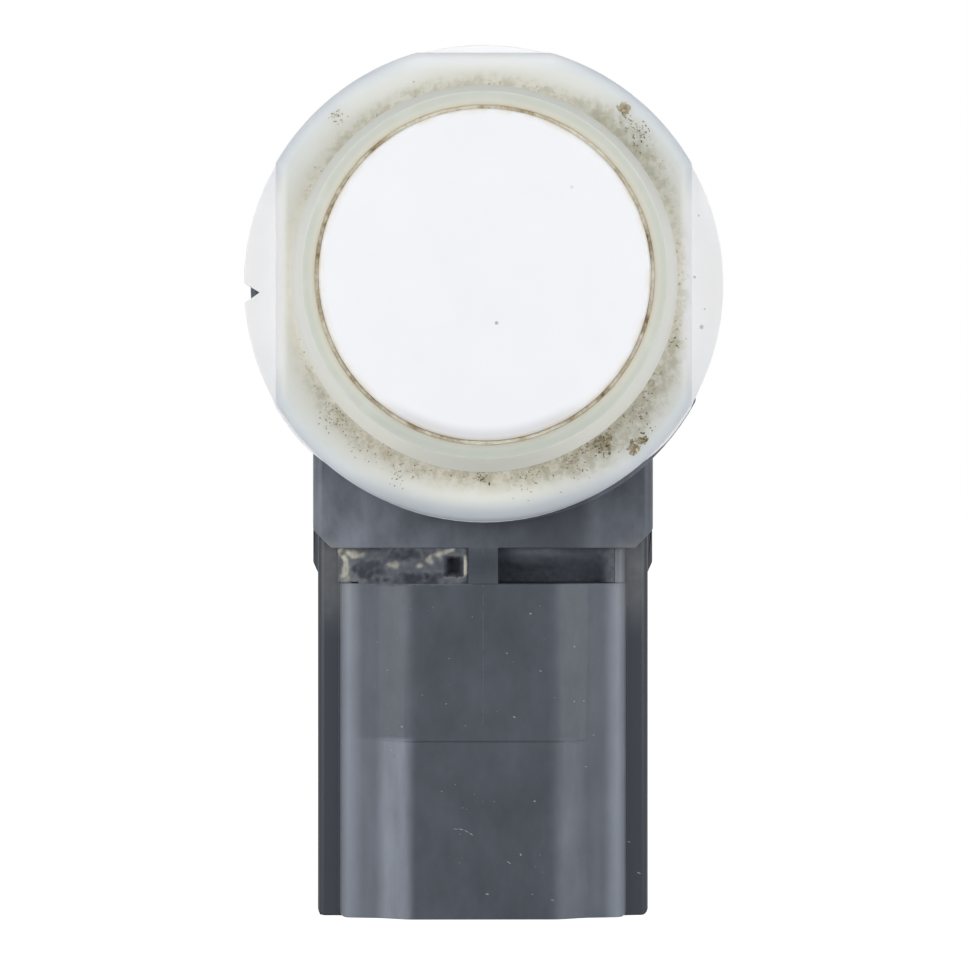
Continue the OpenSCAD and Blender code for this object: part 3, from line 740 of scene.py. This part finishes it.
# Worn softer than the solid: a lower step, and edges that reach a little wider
def wearPanel(piece):
    for vert in piece.data.vertices:
        x, y, z = vert.co / mm
        if z > panel["top"] + hair or y > panel["shoulder"] + hair:
            continue
        flat = 1 - smoothStep(abs(x), panel["flatHalf"], panel["flatHalf"] + panel["slopeWide"])
        midStep = panelFace(x, panel["step"]) + panel["stepDeep"] * flat / 2
        if z < panel["step"] + hair and flat > 0 and y > midStep:
            vert.co.y -= panel["softer"] * flat * mm
            if z > panel["step"] - hair:
                vert.co.z -= panel["ramp"] * mm
        root = panel["sideRoot"] if z > panel["foot"] else panel["edge"] - hair
        onSide = y < panel["shoulder"] - panel["offShoulder"] or abs(x) > root
        if onSide and abs(x) < panel["widest"]:
            vert.co.x += math.copysign(panel["wider"] * smoothStep(abs(x), *panel["widens"]), x) * mm


# Draws the edge of skirt or apron in to a new radius, less so where keep nears one
def drawIn(piece, new, keep):
    (least, most), (front, back) = skirt["radii"], skirt["stations"]
    for vert in piece.data.vertices:
        x, y, z = vert.co / mm
        r = math.hypot(x, z)
        if least < r < most and front < y < back and z < skirt["below"] and keep(x) < 1:
            share = keep(x) + (1 - keep(x)) * new / r
            vert.co.x *= share
            vert.co.z *= share


housing = mergedCopy("housing", "housingShell", shell["flatAngle"])
wearPanel(housing)
drawIn(housing, skirt["apron"], lambda x: smoothStep(x, *skirt["apronFade"]))
brokenEdges(housing, shell)
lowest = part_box("housing")[0].z
for vert in housing.data.vertices:
    vert.co.z = max(vert.co.z, lowest)
hold(housing, "black_moulding", finish["blackPlastic"], "housing")

whiteRing = mergedCopy("retaining_ring", "whiteRing", clamp["flatAngle"])
drawIn(whiteRing, skirt["ring"], lambda x: smoothStep(abs(x), *skirt["ringFade"]))
low, high = clamp["skirtEnds"]
for vert in whiteRing.data.vertices:
    x, y, z = vert.co / mm
    r = math.hypot(x, z)
    if x < clamp["chipFrom"] and r < clamp["chipRadius"] and abs(z) < clamp["chipHalf"]:
        vert.co.x += clamp["deeperChip"] * mm
    if low < z < high and r > clamp["ringRadius"]:
        vert.co.x *= clamp["ringRadius"] / r
        vert.co.z *= clamp["ringRadius"] / r
brokenEdges(whiteRing, clamp)
hold(whiteRing, "white_moulding", finish["whitePlastic"], "retaining_ring")


# Membrane cup, painted white

cup = {
    "steps": 192,
    "segments": 8,
    "smoothTo": 30,
    "corners": [
        (0, -5.6, 0), (7.8, -5.6, 0.2), (7.8, 2.2, 0.05), (8.4, 2.2, 0.1), (8.4, 3.4, 0.1),
        (6.6, 3.4, 0.1), (6.6, -4.9, 0.2), (0, -4.9, 0),
    ],
}

membrane = turnedPiece("membraneCup", cup, closed=False)
smooth(membrane, cup["smoothTo"])
hold(membrane, "white_paint", finish["paint"], "membrane_cup")


# Silicone ring: turned, then its flange pulled in to the three flats

ring = {
    "steps": 288,
    "segments": 7,
    "flangeRadius": 11.77,
    "rimStart": 11.02,
    "holdRadius": 9.4,
    "sideFlat": 10.2,
    "topFlat": 11.3,
    "backFace": 1.6,
    "wave": 0.025,
    "waveGrain": 0.35,
    "waveTo": 0.5,
    "smoothTo": 40,
    "lowerIn": 0.09,
    "corners": [
        (7.99, -5.3, 0.08), (8.63, -5.3, 0.12), (9.25, -3.0, 0.8), (9.25, 0, 0.15), (11.77, 0, 0.74),
        (11.77, 1.6, 0.08), (9.05, 1.6, 0.05), (9.05, 4.6, 0.1), (6.6, 4.6, 0.1), (6.6, 3.4, 0.05),
        (8.45, 3.4, 0.05), (8.45, 2.15, 0.05), (7.85, 2.15, 0.05), (7.85, -4.5, 0.3),
    ],
}


# Where a point of the flange goes once its edge is pulled in
def pulledIn(x, z):
    r = math.hypot(x, z)
    reach = min(
        ring["flangeRadius"] - ring["lowerIn"] * max(0, -z / r) ** 3,
        ring["sideFlat"] * r / max(abs(x), 0.001),
        ring["topFlat"] * r / max(z, 0.001),
    )
    start = max(ring["holdRadius"], ring["rimStart"] - ring["flangeRadius"] + reach)
    if r > ring["rimStart"]:
        share = (r - ring["rimStart"]) / (ring["flangeRadius"] - ring["rimStart"])
        return start + (reach - start) * share
    share = (r - ring["holdRadius"]) / (ring["rimStart"] - ring["holdRadius"])
    return ring["holdRadius"] + (start - ring["holdRadius"]) * share


silicone = turnedPiece("siliconeRing", ring)
for vert in silicone.data.vertices:
    x, y, z = vert.co / mm
    r = math.hypot(x, z)
    if r > ring["holdRadius"] and y < ring["backFace"] + hair:
        grown = pulledIn(x, z) / r
        vert.co.x *= grown
        vert.co.z *= grown
    if y < ring["waveTo"]:
        vert.co.y += ring["wave"] * mm * max(0, turbulence.noise(vert.co * ring["waveGrain"] / mm))
smooth(silicone, ring["smoothTo"])
hold(silicone, "milky_silicone", finish["silicone"], "decoupling_ring")


# Dirt packed in the gap round the membrane

gap = {
    "steps": 288,
    "segments": 1,
    "corners": [(7.77, -5.1, 0), (7.83, -5.25, 0), (7.96, -5.26, 0), (8.04, -5.12, 0)],
    "rise": 0.06,
    "grain": 1.6,
    "smoothTo": 60,
}

gapLine = turnedPiece("gapDirtLine", gap)
for vert in gapLine.data.vertices:
    vert.co.y += gap["rise"] * mm * turbulence.noise(vert.co * gap["grain"] / mm)
smooth(gapLine, gap["smoothTo"])
hold(gapLine, "milky_silicone", finish["gapDirt"])


# Flakes of grit and dust, one modelled and the rest copied

flakeShape = {"rough": 0.25 * mm, "seed": 3}


def makeFlake():
    clearSelection()
    bpy.ops.mesh.primitive_ico_sphere_add(subdivisions=1, radius=1 * mm)
    flake = bpy.context.object
    flake.name = "flake"
    editAll()
    bpy.ops.transform.vertex_random(offset=flakeShape["rough"], seed=flakeShape["seed"])
    editDone()
    return flake


# Each entry is place, three half sizes, turn about the axis and tone
def scatter(name, entries):
    model = makeFlake()
    copies = []
    for place, sizes, turn, tone in entries:
        flake = model.copy()
        flake.data = model.data.copy()
        turned = Matrix.Rotation(turn, 4, "Y") @ Matrix.Diagonal((*sizes, 1))
        flake.data.transform(Matrix.Translation(Vector(place) * mm) @ turned)
        values = flake.data.attributes.new("tone", "FLOAT", "POINT").data
        for value in values:
            value.value = tone
        scene.collection.objects.link(flake)
        copies.append(flake)
    bpy.data.objects.remove(model)
    clearSelection()
    for flake in copies:
        flake.select_set(True)
    bpy.context.view_layer.objects.active = copies[0]
    bpy.ops.object.join()
    piece = bpy.context.object
    piece.name = name
    return piece


grit = {
    "seed": 11,
    "loose": 100,
    "looseTones": (0.1, 0.2, 0.35, 0.55),
    "size": (0.02, 0.05),
    "smaller": (0.5, 1),
    "clumpSizes": (0.5, 1.1),
    # length, thickness and width of a grain, times its size
    "shape": ((0.6, 1.8), (0.3, 0.6), (0.5, 1.1)),
    "proud": 0.1,
    "toneSpread": 0.2,
    "nearest": 9.4,
    "reach": 0.38,
    "furthest": 10.9,
    "overRim": 0.1,
    # chance of grit: everywhere, more of it below, at the right corners and at all corners
    "chance": {"all": 0.12, "low": 0.55, "right": 0.5, "corners": 0.2},
    # x, z, spread, how many, size, tone
    "clumps": [
        (5.75, -7.75, 0.32, 150, 0.062, 0.4), (4.4, -8.6, 0.4, 50, 0.05, 0.42),
        (-0.1, -9.56, 0.14, 18, 0.06, 0.2), (7.4, -8.15, 0.15, 60, 0.1, 0.6),
        (7.5, -7.95, 0.18, 30, 0.08, 0.56), (7.78, -7.68, 0.12, 30, 0.08, 0.3),
        (6.86, 8.5, 0.15, 80, 0.1, 0.68), (7.6, 7.4, 0.35, 60, 0.048, 0.38),
        (-7.2, -6.6, 0.32, 40, 0.045, 0.5), (-6.2, -7.9, 0.45, 36, 0.04, 0.55),
        (9.3, -2.9, 0.2, 10, 0.05, 0.2), (-4.1, -9.2, 0.5, 44, 0.045, 0.56),
        (2.2, -9.5, 0.5, 50, 0.045, 0.42), (7.2, -6.4, 0.5, 40, 0.045, 0.38),
        (-7.27, 8.1, 0.18, 30, 0.06, 0.9),
    ],
}


# How much grit lies at an angle round the axis
def gritShare(angle):
    x, z = math.cos(angle), math.sin(angle)
    chance = grit["chance"]
    share = chance["all"] + chance["low"] * max(0, -z)
    share += chance["right"] * max(0, x) * min(1, 2 * abs(x * z))
    return share + chance["corners"] * abs(x * z)


def gritEntry(draw, x, z, size, tone):
    sizes = tuple(size * draw.uniform(*span) for span in grit["shape"])
    turn = draw.uniform(0, math.tau)
    return (x, -grit["proud"] * size, z), sizes, turn, tone + draw.gauss(0, grit["toneSpread"])


draw = random.Random(grit["seed"])
entries = []
while len(entries) < grit["loose"]:
    angle = draw.uniform(0, math.tau)
    if draw.random() > gritShare(angle):
        continue
    r = grit["nearest"] + draw.expovariate(1 / grit["reach"])
    x, z = r * math.cos(angle), r * math.sin(angle)
    if r < min(grit["furthest"], pulledIn(x, z) + hair):
        size = draw.uniform(*grit["size"]) * draw.uniform(*grit["smaller"])
        tone = draw.choice(grit["looseTones"])
        entries.append(gritEntry(draw, x, z, size, tone))
for x, z, wide, count, size, tone in grit["clumps"]:
    for _ in range(count):
        px, pz = draw.gauss(x, wide), draw.gauss(z, wide)
        if grit["nearest"] < math.hypot(px, pz) < ring["rimStart"] + grit["overRim"]:
            entries.append(gritEntry(draw, px, pz, size * draw.uniform(*grit["clumpSizes"]), tone))
collarGrit = scatter("collarGrit", entries)
hold(collarGrit, "milky_silicone", finish["grit"])


# Specks and short scratches on the black front

specks = {
    "seed": 5,
    "count": 84,
    "across": (-6.2, 6.2),
    "along": (-31.4, -15.2),
    "offStep": 0.1,
    "size": (0.015, 0.035),
    "long": (1, 3),
    "broad": 0.7,
    "thick": 0.01,
    "turn": (-1, 1),
    "tones": (0.1, 0.8),
    "placedThick": 0.012,
    "placedTones": (0.6, 0.8),
    # x, z, length, width, turn
    "placed": [
        (4.61, -18.08, 0.1, 0.07, 0.3), (4.61, -20.87, 0.08, 0.05, 0), (5.11, -20.85, 0.06, 0.04, 0),
        (1.57, -21.63, 0.09, 0.04, 0.6), (-4.1, -22.13, 0.12, 0.05, 0.5), (-4.66, -23.35, 0.14, 0.04, 0.9),
        (-4.45, -23.6, 0.2, 0.03, -0.7), (-1.4, -27.3, 0.14, 0.025, 0.1), (-1.12, -27.32, 0.16, 0.025, 0.25),
        (-0.84, -27.42, 0.16, 0.025, 0.5), (-0.6, -27.56, 0.12, 0.025, 0.7), (7.47, -28.15, 0.1, 0.04, 0.2),
        (7.98, -29.74, 0.12, 0.04, 0.4), (1.3, -29.0, 0.16, 0.03, 0.6), (0.2, -30.6, 0.1, 0.05, 0.2),
        (2.6, -25.9, 0.08, 0.04, 0), (3.5, -30.9, 0.12, 0.04, 0.3), (5.2, -24.2, 0.1, 0.04, 0.1),
        (5.6, -22.6, 0.07, 0.04, 0.2), (1.9, -28.6, 0.08, 0.04, 1.0), (2.4, -16.4, 0.07, 0.05, 0.2),
        (1.2, -18.4, 0.06, 0.04, 0.5), (2.9, -19.3, 0.08, 0.03, 0.3), (-2.1, -25.4, 0.05, 0.04, 0),
    ],
}

draw = random.Random(specks["seed"])
entries = []
for x, z, long, wide, turn in specks["placed"]:
    tone = draw.uniform(*specks["placedTones"])
    entries.append(((x, panelFace(x, z), z), (long, specks["placedThick"], wide), turn, tone))
while len(entries) < specks["count"]:
    x, z = draw.uniform(*specks["across"]), draw.uniform(*specks["along"])
    if abs(z - panel["step"]) > specks["offStep"]:
        size = draw.uniform(*specks["size"])
        sizes = (size * draw.uniform(*specks["long"]), specks["thick"], size * specks["broad"])
        turn, tone = draw.uniform(*specks["turn"]), draw.uniform(*specks["tones"])
        entries.append(((x, panelFace(x, z), z), sizes, turn, tone))
frontSpecks = scatter("frontSpecks", entries)
hold(frontSpecks, "black_moulding", finish["scuff"])


# Line left by the mould down the middle of the front

seam = {
    "wide": 0.05, "proud": 0.012, "runs": [(-11.95, -14.8), (-14.95, -22.0)], "cuts": 60,
    "worn": 0.6, "wear": 1.6, "wearGrain": 2.2, "sway": 0.02, "swayGrain": 0.9, "smoothTo": 40,
}


def seamRun(top, low):
    clearSelection()
    deep = panelFace(0, top)
    bpy.ops.mesh.primitive_cube_add(size=1, location=(0, deep * mm, (top + low) / 2 * mm))
    run = bpy.context.object
    run.scale = (seam["wide"] * mm, 2 * seam["proud"] * mm, (top - low) * mm)
    bpy.ops.object.transform_apply(location=True, rotation=True, scale=True)
    editAll()
    bpy.ops.mesh.subdivide(number_cuts=seam["cuts"])
    editDone()
    for vert in run.data.vertices:
        wear = turbulence.noise(Vector((3.1, 0, vert.co.z * seam["wearGrain"] / mm)))
        sway = turbulence.noise(Vector((0, 7.7, vert.co.z * seam["swayGrain"] / mm)))
        if vert.co.y < deep * mm:
            vert.co.y += seam["proud"] * mm * max(0, seam["worn"] - seam["wear"] * wear)
        vert.co.x += seam["sway"] * mm * sway
    return run


upper = seamRun(*seam["runs"][0])
lower = seamRun(*seam["runs"][1])
pickUp(lower)
upper.select_set(True)
bpy.ops.object.join()
mouldSeam = bpy.context.object
mouldSeam.name = "mouldSeam"
smooth(mouldSeam, seam["smoothTo"])
hold(mouldSeam, "black_moulding", finish["scuff"])


# Pillars beside the windows: the panel's rounded edge carried up to the neck

pillar = {
    "profile": [
        (6.72, 7.3), (6.72, 6.66), (6.84, 6.62), (6.98, 6.62), (7.1, 6.68), (7.2, 6.8), (7.27, 6.95),
        (7.3, 7.1), (7.3, 7.3),
    ],
    "from": -14.9, "tall": 1.9, "smoothTo": 40,
}

mesh = bpy.data.meshes.new("windowPillars")
corners = pillar["profile"]
outline = [(x * mm, y * mm, pillar["from"] * mm) for x, y in corners]
mesh.from_pydata(outline, [], [list(range(len(corners)))])
pillars = addPiece("windowPillars", mesh)
editAll()
bpy.ops.mesh.extrude_region_move(TRANSFORM_OT_translate={"value": (0, 0, pillar["tall"] * mm)})
editDone()
modify(pillars, "MIRROR", use_axis=(True, False, False))
faceOut(pillars)
smooth(pillars, pillar["smoothTo"])
hold(pillars, "black_moulding", finish["blackPlastic"])


# Foot of the rib between the windows, run out flush with the panel

foot = {
    "wide": 1.5, "deep": 0.5, "tall": 1.72, "front": 5.61, "overlap": 0.02, "setBack": 0.3, "cuts": 5,
    "smoothTo": 40,
}

clearSelection()
middle = (0, foot["front"] + foot["deep"] / 2, panel["top"] - foot["overlap"] + foot["tall"] / 2)
bpy.ops.mesh.primitive_cube_add(size=1 * mm, location=[along * mm for along in middle])
ribFoot = bpy.context.object
ribFoot.name = "ribFoot"
ribFoot.scale = (foot["wide"], foot["deep"], foot["tall"])
bpy.ops.object.transform_apply(location=True, rotation=True, scale=True)
editAll()
bpy.ops.mesh.subdivide(number_cuts=foot["cuts"])
editDone()
for vert in ribFoot.data.vertices:
    up = smoothStep(vert.co.z / mm, panel["top"], panel["top"] + foot["tall"])
    ahead = 1 - (vert.co.y / mm - foot["front"]) / foot["deep"]
    vert.co.y += foot["setBack"] * up * ahead * mm
smooth(ribFoot, foot["smoothTo"])
hold(ribFoot, "black_moulding", finish["blackPlastic"])


# Mud caked in the windows: the left one is full to the panel's face, with a hole left at its inner end; the
# right one holds a dark sheet of painted shade, with paler dust hanging from its top and heaped at its outer
# end

mud = {
    "back": 10.75,
    "thick": 1,
    "least": 0.02,
    "grid": 0.085,
    "fractal": (0.8, 2.1, 4),
    "smoothTo": 60,
    "left": {
        "from": (-7.42, -15.15), "to": (-0.6, -13.06),
        "grain": 1.6, "wobble": 0.7, "wobbleGrain": 3.5, "sunk": 0.08, "rough": 0.12,
        # leans back towards the top, drops at both ends
        "lean": 0.42, "leanUp": (-14.75, -13.1), "leanFrom": (-6.9, -6.1),
        "outerDrop": 0.7, "outerEnd": (-7.2, -7.42), "outerSway": 0.3,
        "innerDrop": 0.1, "innerEnd": (-1.0, -0.6),
        "tone": 0.4, "toneRough": 0.1, "paler": 0.12, "palerEnd": (-5.6, -6.9),
        # thin skin on the panel below the window
        "skinProud": 0.04, "skinSunk": 0.13, "skinEdge": (0.03, 0.25), "skinSway": 0.12, "skinEnd": -6.35,
        "behind": 0.5,
        "hole": (-2.02, -1.02, -14.52, -13.46), "holeSway": 0.1, "holeDeep": 1.1, "holeWall": 0.3,
        "holeShadeTone": 0.3, "holeRough": 0.2, "sill": (0.14, 0.04), "sillProud": 0.1, "sillTone": 0.25,
        # x, z, two radii and lift of the pale lumps
        "lumps": [
            (-7.35, -13.2, 0.35, 0.3, 0.1), (-6.55, -13.4, 0.75, 0.3, 0.1), (-4.57, -13.98, 0.5, 0.38, 0.25),
            (-3.15, -13.95, 0.4, 0.22, 0.15), (-2.7, -13.72, 0.45, 0.26, 0.2), (-2.3, -13.4, 0.5, 0.3, 0.2),
            (-1.65, -13.15, 0.45, 0.16, 0.15), (-7.0, -14.2, 0.28, 1.2, 0.05), (-0.9, -13.95, 0.2, 0.85, 0.1),
            (-0.88, -14.1, 0.16, 0.6, 0),
        ],
        "lumpTone": 0.42, "lumpFade": 0.8,
        # x, z and two radii of the hollows, sunk back and darkened with painted shade
        "shadedHollows": [(-5.9, -14.2, 1.0, 0.6), (-3.9, -13.4, 0.9, 0.3), (-3.4, -14.6, 1.5, 0.35)],
        "hollowDeep": 0.3, "hollowShadeTone": 0.25, "hollowShadeFade": 0.7,
    },
    "right": {
        "from": (0.77, -14.84), "to": (6.7, -13.1),
        "grain": (1.1, 1.4), "shift": 9, "face": 7.6, "rough": 0.1, "tone": 0.06,
        # hangs from the top, most in the middle, and is heaped at the outer end
        "hang": 0.9, "hangTone": 0.34, "hangFrom": -14.4, "hangSway": 0.4, "hangFull": -13.2,
        "ends": 0.55, "middle": 2.7, "middleFade": (2.4, 0.6),
        "heap": 0.98, "heapTone": 0.36, "heapSway": 0.25, "heapEnd": (5.75, 6.6),
    },
}


def mudSheet(name, span):
    (x0, z0), (x1, z1) = span["from"], span["to"]
    wide, tall = x1 - x0, z1 - z0
    clearSelection()
    bpy.ops.mesh.primitive_grid_add(
        x_subdivisions=int(wide / mud["grid"]), y_subdivisions=int(tall / mud["grid"]), size=1 * mm,
        rotation=(math.radians(90), 0, 0),
        location=((x0 + x1) / 2 * mm, mud["back"] * mm, (z0 + z1) / 2 * mm),
    )
    sheet = bpy.context.object
    sheet.name = name
    sheet.scale = (wide, tall, 1)
    bpy.ops.object.transform_apply(location=True, rotation=True, scale=True)
    sheet.data.attributes.new("tone", "FLOAT", "POINT")
    editAll()
    bpy.ops.mesh.extrude_region_move(TRANSFORM_OT_translate={"value": (0, -mud["thick"] * mm, 0)})
    editDone()
    return sheet


# Station of the mud's face and its tone at a place in the left window
def leftMud(x, z):
    left = mud["left"]
    grain, shake = left["grain"], left["wobbleGrain"]
    rough = turbulence.fractal(Vector((x * grain, 0, z * grain)), *mud["fractal"])
    wobble = left["wobble"] * turbulence.noise(Vector((x * shake, 5, z * shake)))
    face = panelFace(max(x, hair - panel["edge"]), panel["top"])
    tone = left["tone"] + left["toneRough"] * rough + left["paler"] * smoothStep(x, *left["palerEnd"])
    if z < panel["top"]:
        below = panel["top"] - z + left["skinSway"] * wobble
        skin = face - left["skinProud"] + left["skinSunk"] * smoothStep(below, *left["skinEdge"])
        return (skin if x > left["skinEnd"] else panel["shoulder"] + left["behind"]), tone

    def within(lx, lz, across, tall):
        return max(0, 1 + wobble - math.hypot((x - lx) / across, (z - lz) / tall))

    lean = left["lean"] * smoothStep(z, *left["leanUp"]) * smoothStep(x, *left["leanFrom"])
    y = face + left["sunk"] + lean - left["rough"] * rough
    y += left["outerDrop"] * smoothStep(x + left["outerSway"] * wobble, *left["outerEnd"])
    y += left["innerDrop"] * smoothStep(x, *left["innerEnd"])
    for *ellipse, lift in left["lumps"]:
        share = within(*ellipse)
        y -= lift * min(1, share)
        tone += left["lumpTone"] * smoothStep(share, 0, left["lumpFade"])
    # The hollows are sunk back and darkened with painted shade
    for ellipse in left["shadedHollows"]:
        share = within(*ellipse)
        y += left["hollowDeep"] * min(1, share)
        tone -= left["hollowShadeTone"] * smoothStep(share, 0, left["hollowShadeFade"])

    # The hole is sunk back, and the tone in it is painted shade
    start, end, low, high = left["hole"]
    inHole = min(x - start, end - x, z - low, high - z) + left["holeSway"] * wobble
    if inHole > 0:
        deep = left["holeDeep"] * smoothStep(inHole, 0, left["holeWall"])
        return y + deep, left["holeShadeTone"] + left["holeRough"] * rough
    sill = smoothStep(-inHole, *left["sill"]) if z < low and x > start else 0
    return y - left["sillProud"] * sill, tone + left["sillTone"] * sill


# The right window's sheet: dark painted shade, with paler dust that hangs from the top and heaps at the outer
# end
def rightMudAndShade(x, z):
    right = mud["right"]
    across, up = right["grain"]
    rough = turbulence.fractal(Vector((x * across + right["shift"], 0, z * up)), *mud["fractal"])
    heap = smoothStep(x + right["heapSway"] * rough, *right["heapEnd"])
    middle = smoothStep(abs(x - right["middle"]), *right["middleFade"])
    hang = smoothStep(z, right["hangFrom"] + right["hangSway"] * rough, right["hangFull"])
    hang *= (right["ends"] + (1 - right["ends"]) * middle) * (1 - heap)
    y = right["face"] - right["hang"] * hang - right["heap"] * heap - right["rough"] * rough * (1 - heap)
    return y, right["tone"] + right["hangTone"] * hang + right["heapTone"] * heap


for name, side, mudFace in (("windowMudLeft", "left", leftMud), ("windowMudAndShadeRight", "right", rightMudAndShade)):
    sheet = mudSheet(name, mud[side])
    tones = sheet.data.attributes["tone"].data
    for vert in sheet.data.vertices:
        if vert.co.y < (mud["back"] - mud["thick"] / 2) * mm:
            y, tone = mudFace(vert.co.x / mm, vert.co.z / mm)
            vert.co.y = min(y, mud["back"] - mud["least"]) * mm
            tones[vert.index].value = tone
    faceOut(sheet)
    smooth(sheet, mud["smoothTo"])
    hold(sheet, "black_moulding", finish["mud"])


# Meniscus where the potting meets the barrel

meniscus = {
    "steps": 144,
    "segments": 1,
    "smoothTo": 50,
    "corners": [
        (8.2, 17.5, 0), (8.2, 17.6, 0), (8.55, 17.63, 0), (8.8, 17.74, 0), (8.98, 17.98, 0), (8.98, 17.5, 0),
    ],
}

edgeOfResin = turnedPiece("pottingMeniscus", meniscus)
smooth(edgeOfResin, meniscus["smoothTo"])
hold(edgeOfResin, "potting_resin", finish["resin"])


# Floor, world and lamps

studio = {
    "floorSize": 3.0,
    "floorColour": (0.86, 0.86, 0.86, 1),
    "shadowTone": (0.5, 0.5, 0.5, 1),
    "floorGlow": 0.9,
    "bounce": 0.15,
    "worldColour": (1, 1, 1, 1),
    "ambient": 0.26,
}
lamps = [
    # name, place, aim, width, height, power
    ("leftBox", (-0.28, -0.31, 0.045), (0, 0, -0.01), 0.34, 0.15, 0.66),
    ("rightBox", (0.28, -0.31, 0.045), (0, 0, -0.01), 0.34, 0.15, 0.6),
    ("topBox", (0, -0.2, 0.4), (0, 0, 0), 0.34, 0.24, 0.28),
]


# Rays that look straight at the background, or mirror or pass it, see it white
def lookingRays(tree):
    rays = tree.nodes.new("ShaderNodeLightPath").outputs
    seen = calc("MAXIMUM", rays["Is Camera Ray"], rays["Is Glossy Ray"])
    return calc("MAXIMUM", seen, rays["Is Transmission Ray"])


clearSelection()
bpy.ops.mesh.primitive_plane_add(size=studio["floorSize"], location=(0, 0, lowest))
floor = bpy.context.object
floor.name = "floor"
paper = bpy.data.materials.new("palePaper")
paper.use_nodes = True
tree = paper.node_tree
tree.nodes.clear()
plain = node("BsdfDiffuse", {"Color": studio["floorColour"]}, tree=tree)
faint = node("Emission", {"Strength": studio["bounce"]}, tree=tree)
shade = node("BsdfDiffuse", {"Color": studio["shadowTone"]}, tree=tree)
glow = node("Emission", {"Strength": studio["floorGlow"]}, tree=tree)
lit = node("AddShader", {0: plain, 1: faint})
seen = node("AddShader", {0: shade, 1: glow})
picked = node("MixShader", {0: lookingRays(tree), 1: lit, 2: seen})
tree.links.new(picked, tree.nodes.new("ShaderNodeOutputMaterial").inputs["Surface"])
floor.data.materials.append(paper)

world = bpy.data.worlds.new("studioWorld")
scene.world = world
world.use_nodes = True
tree = world.node_tree
back = tree.nodes["Background"]
back.inputs["Color"].default_value = studio["worldColour"]
strength = spread(lookingRays(tree), studio["ambient"], 1)
tree.links.new(strength, back.inputs["Strength"])

for name, at, aim, width, height, power in lamps:
    bpy.ops.object.light_add(type="AREA", location=at)
    lamp = bpy.context.object
    lamp.name = name
    lamp.data.shape = "RECTANGLE"
    lamp.data.size = width
    lamp.data.size_y = height
    lamp.data.energy = power
    lamp.rotation_euler = (Vector(aim) - Vector(at)).to_track_quat("-Z", "Y").to_euler()
print("studio lit by", len(lamps), "lamps")
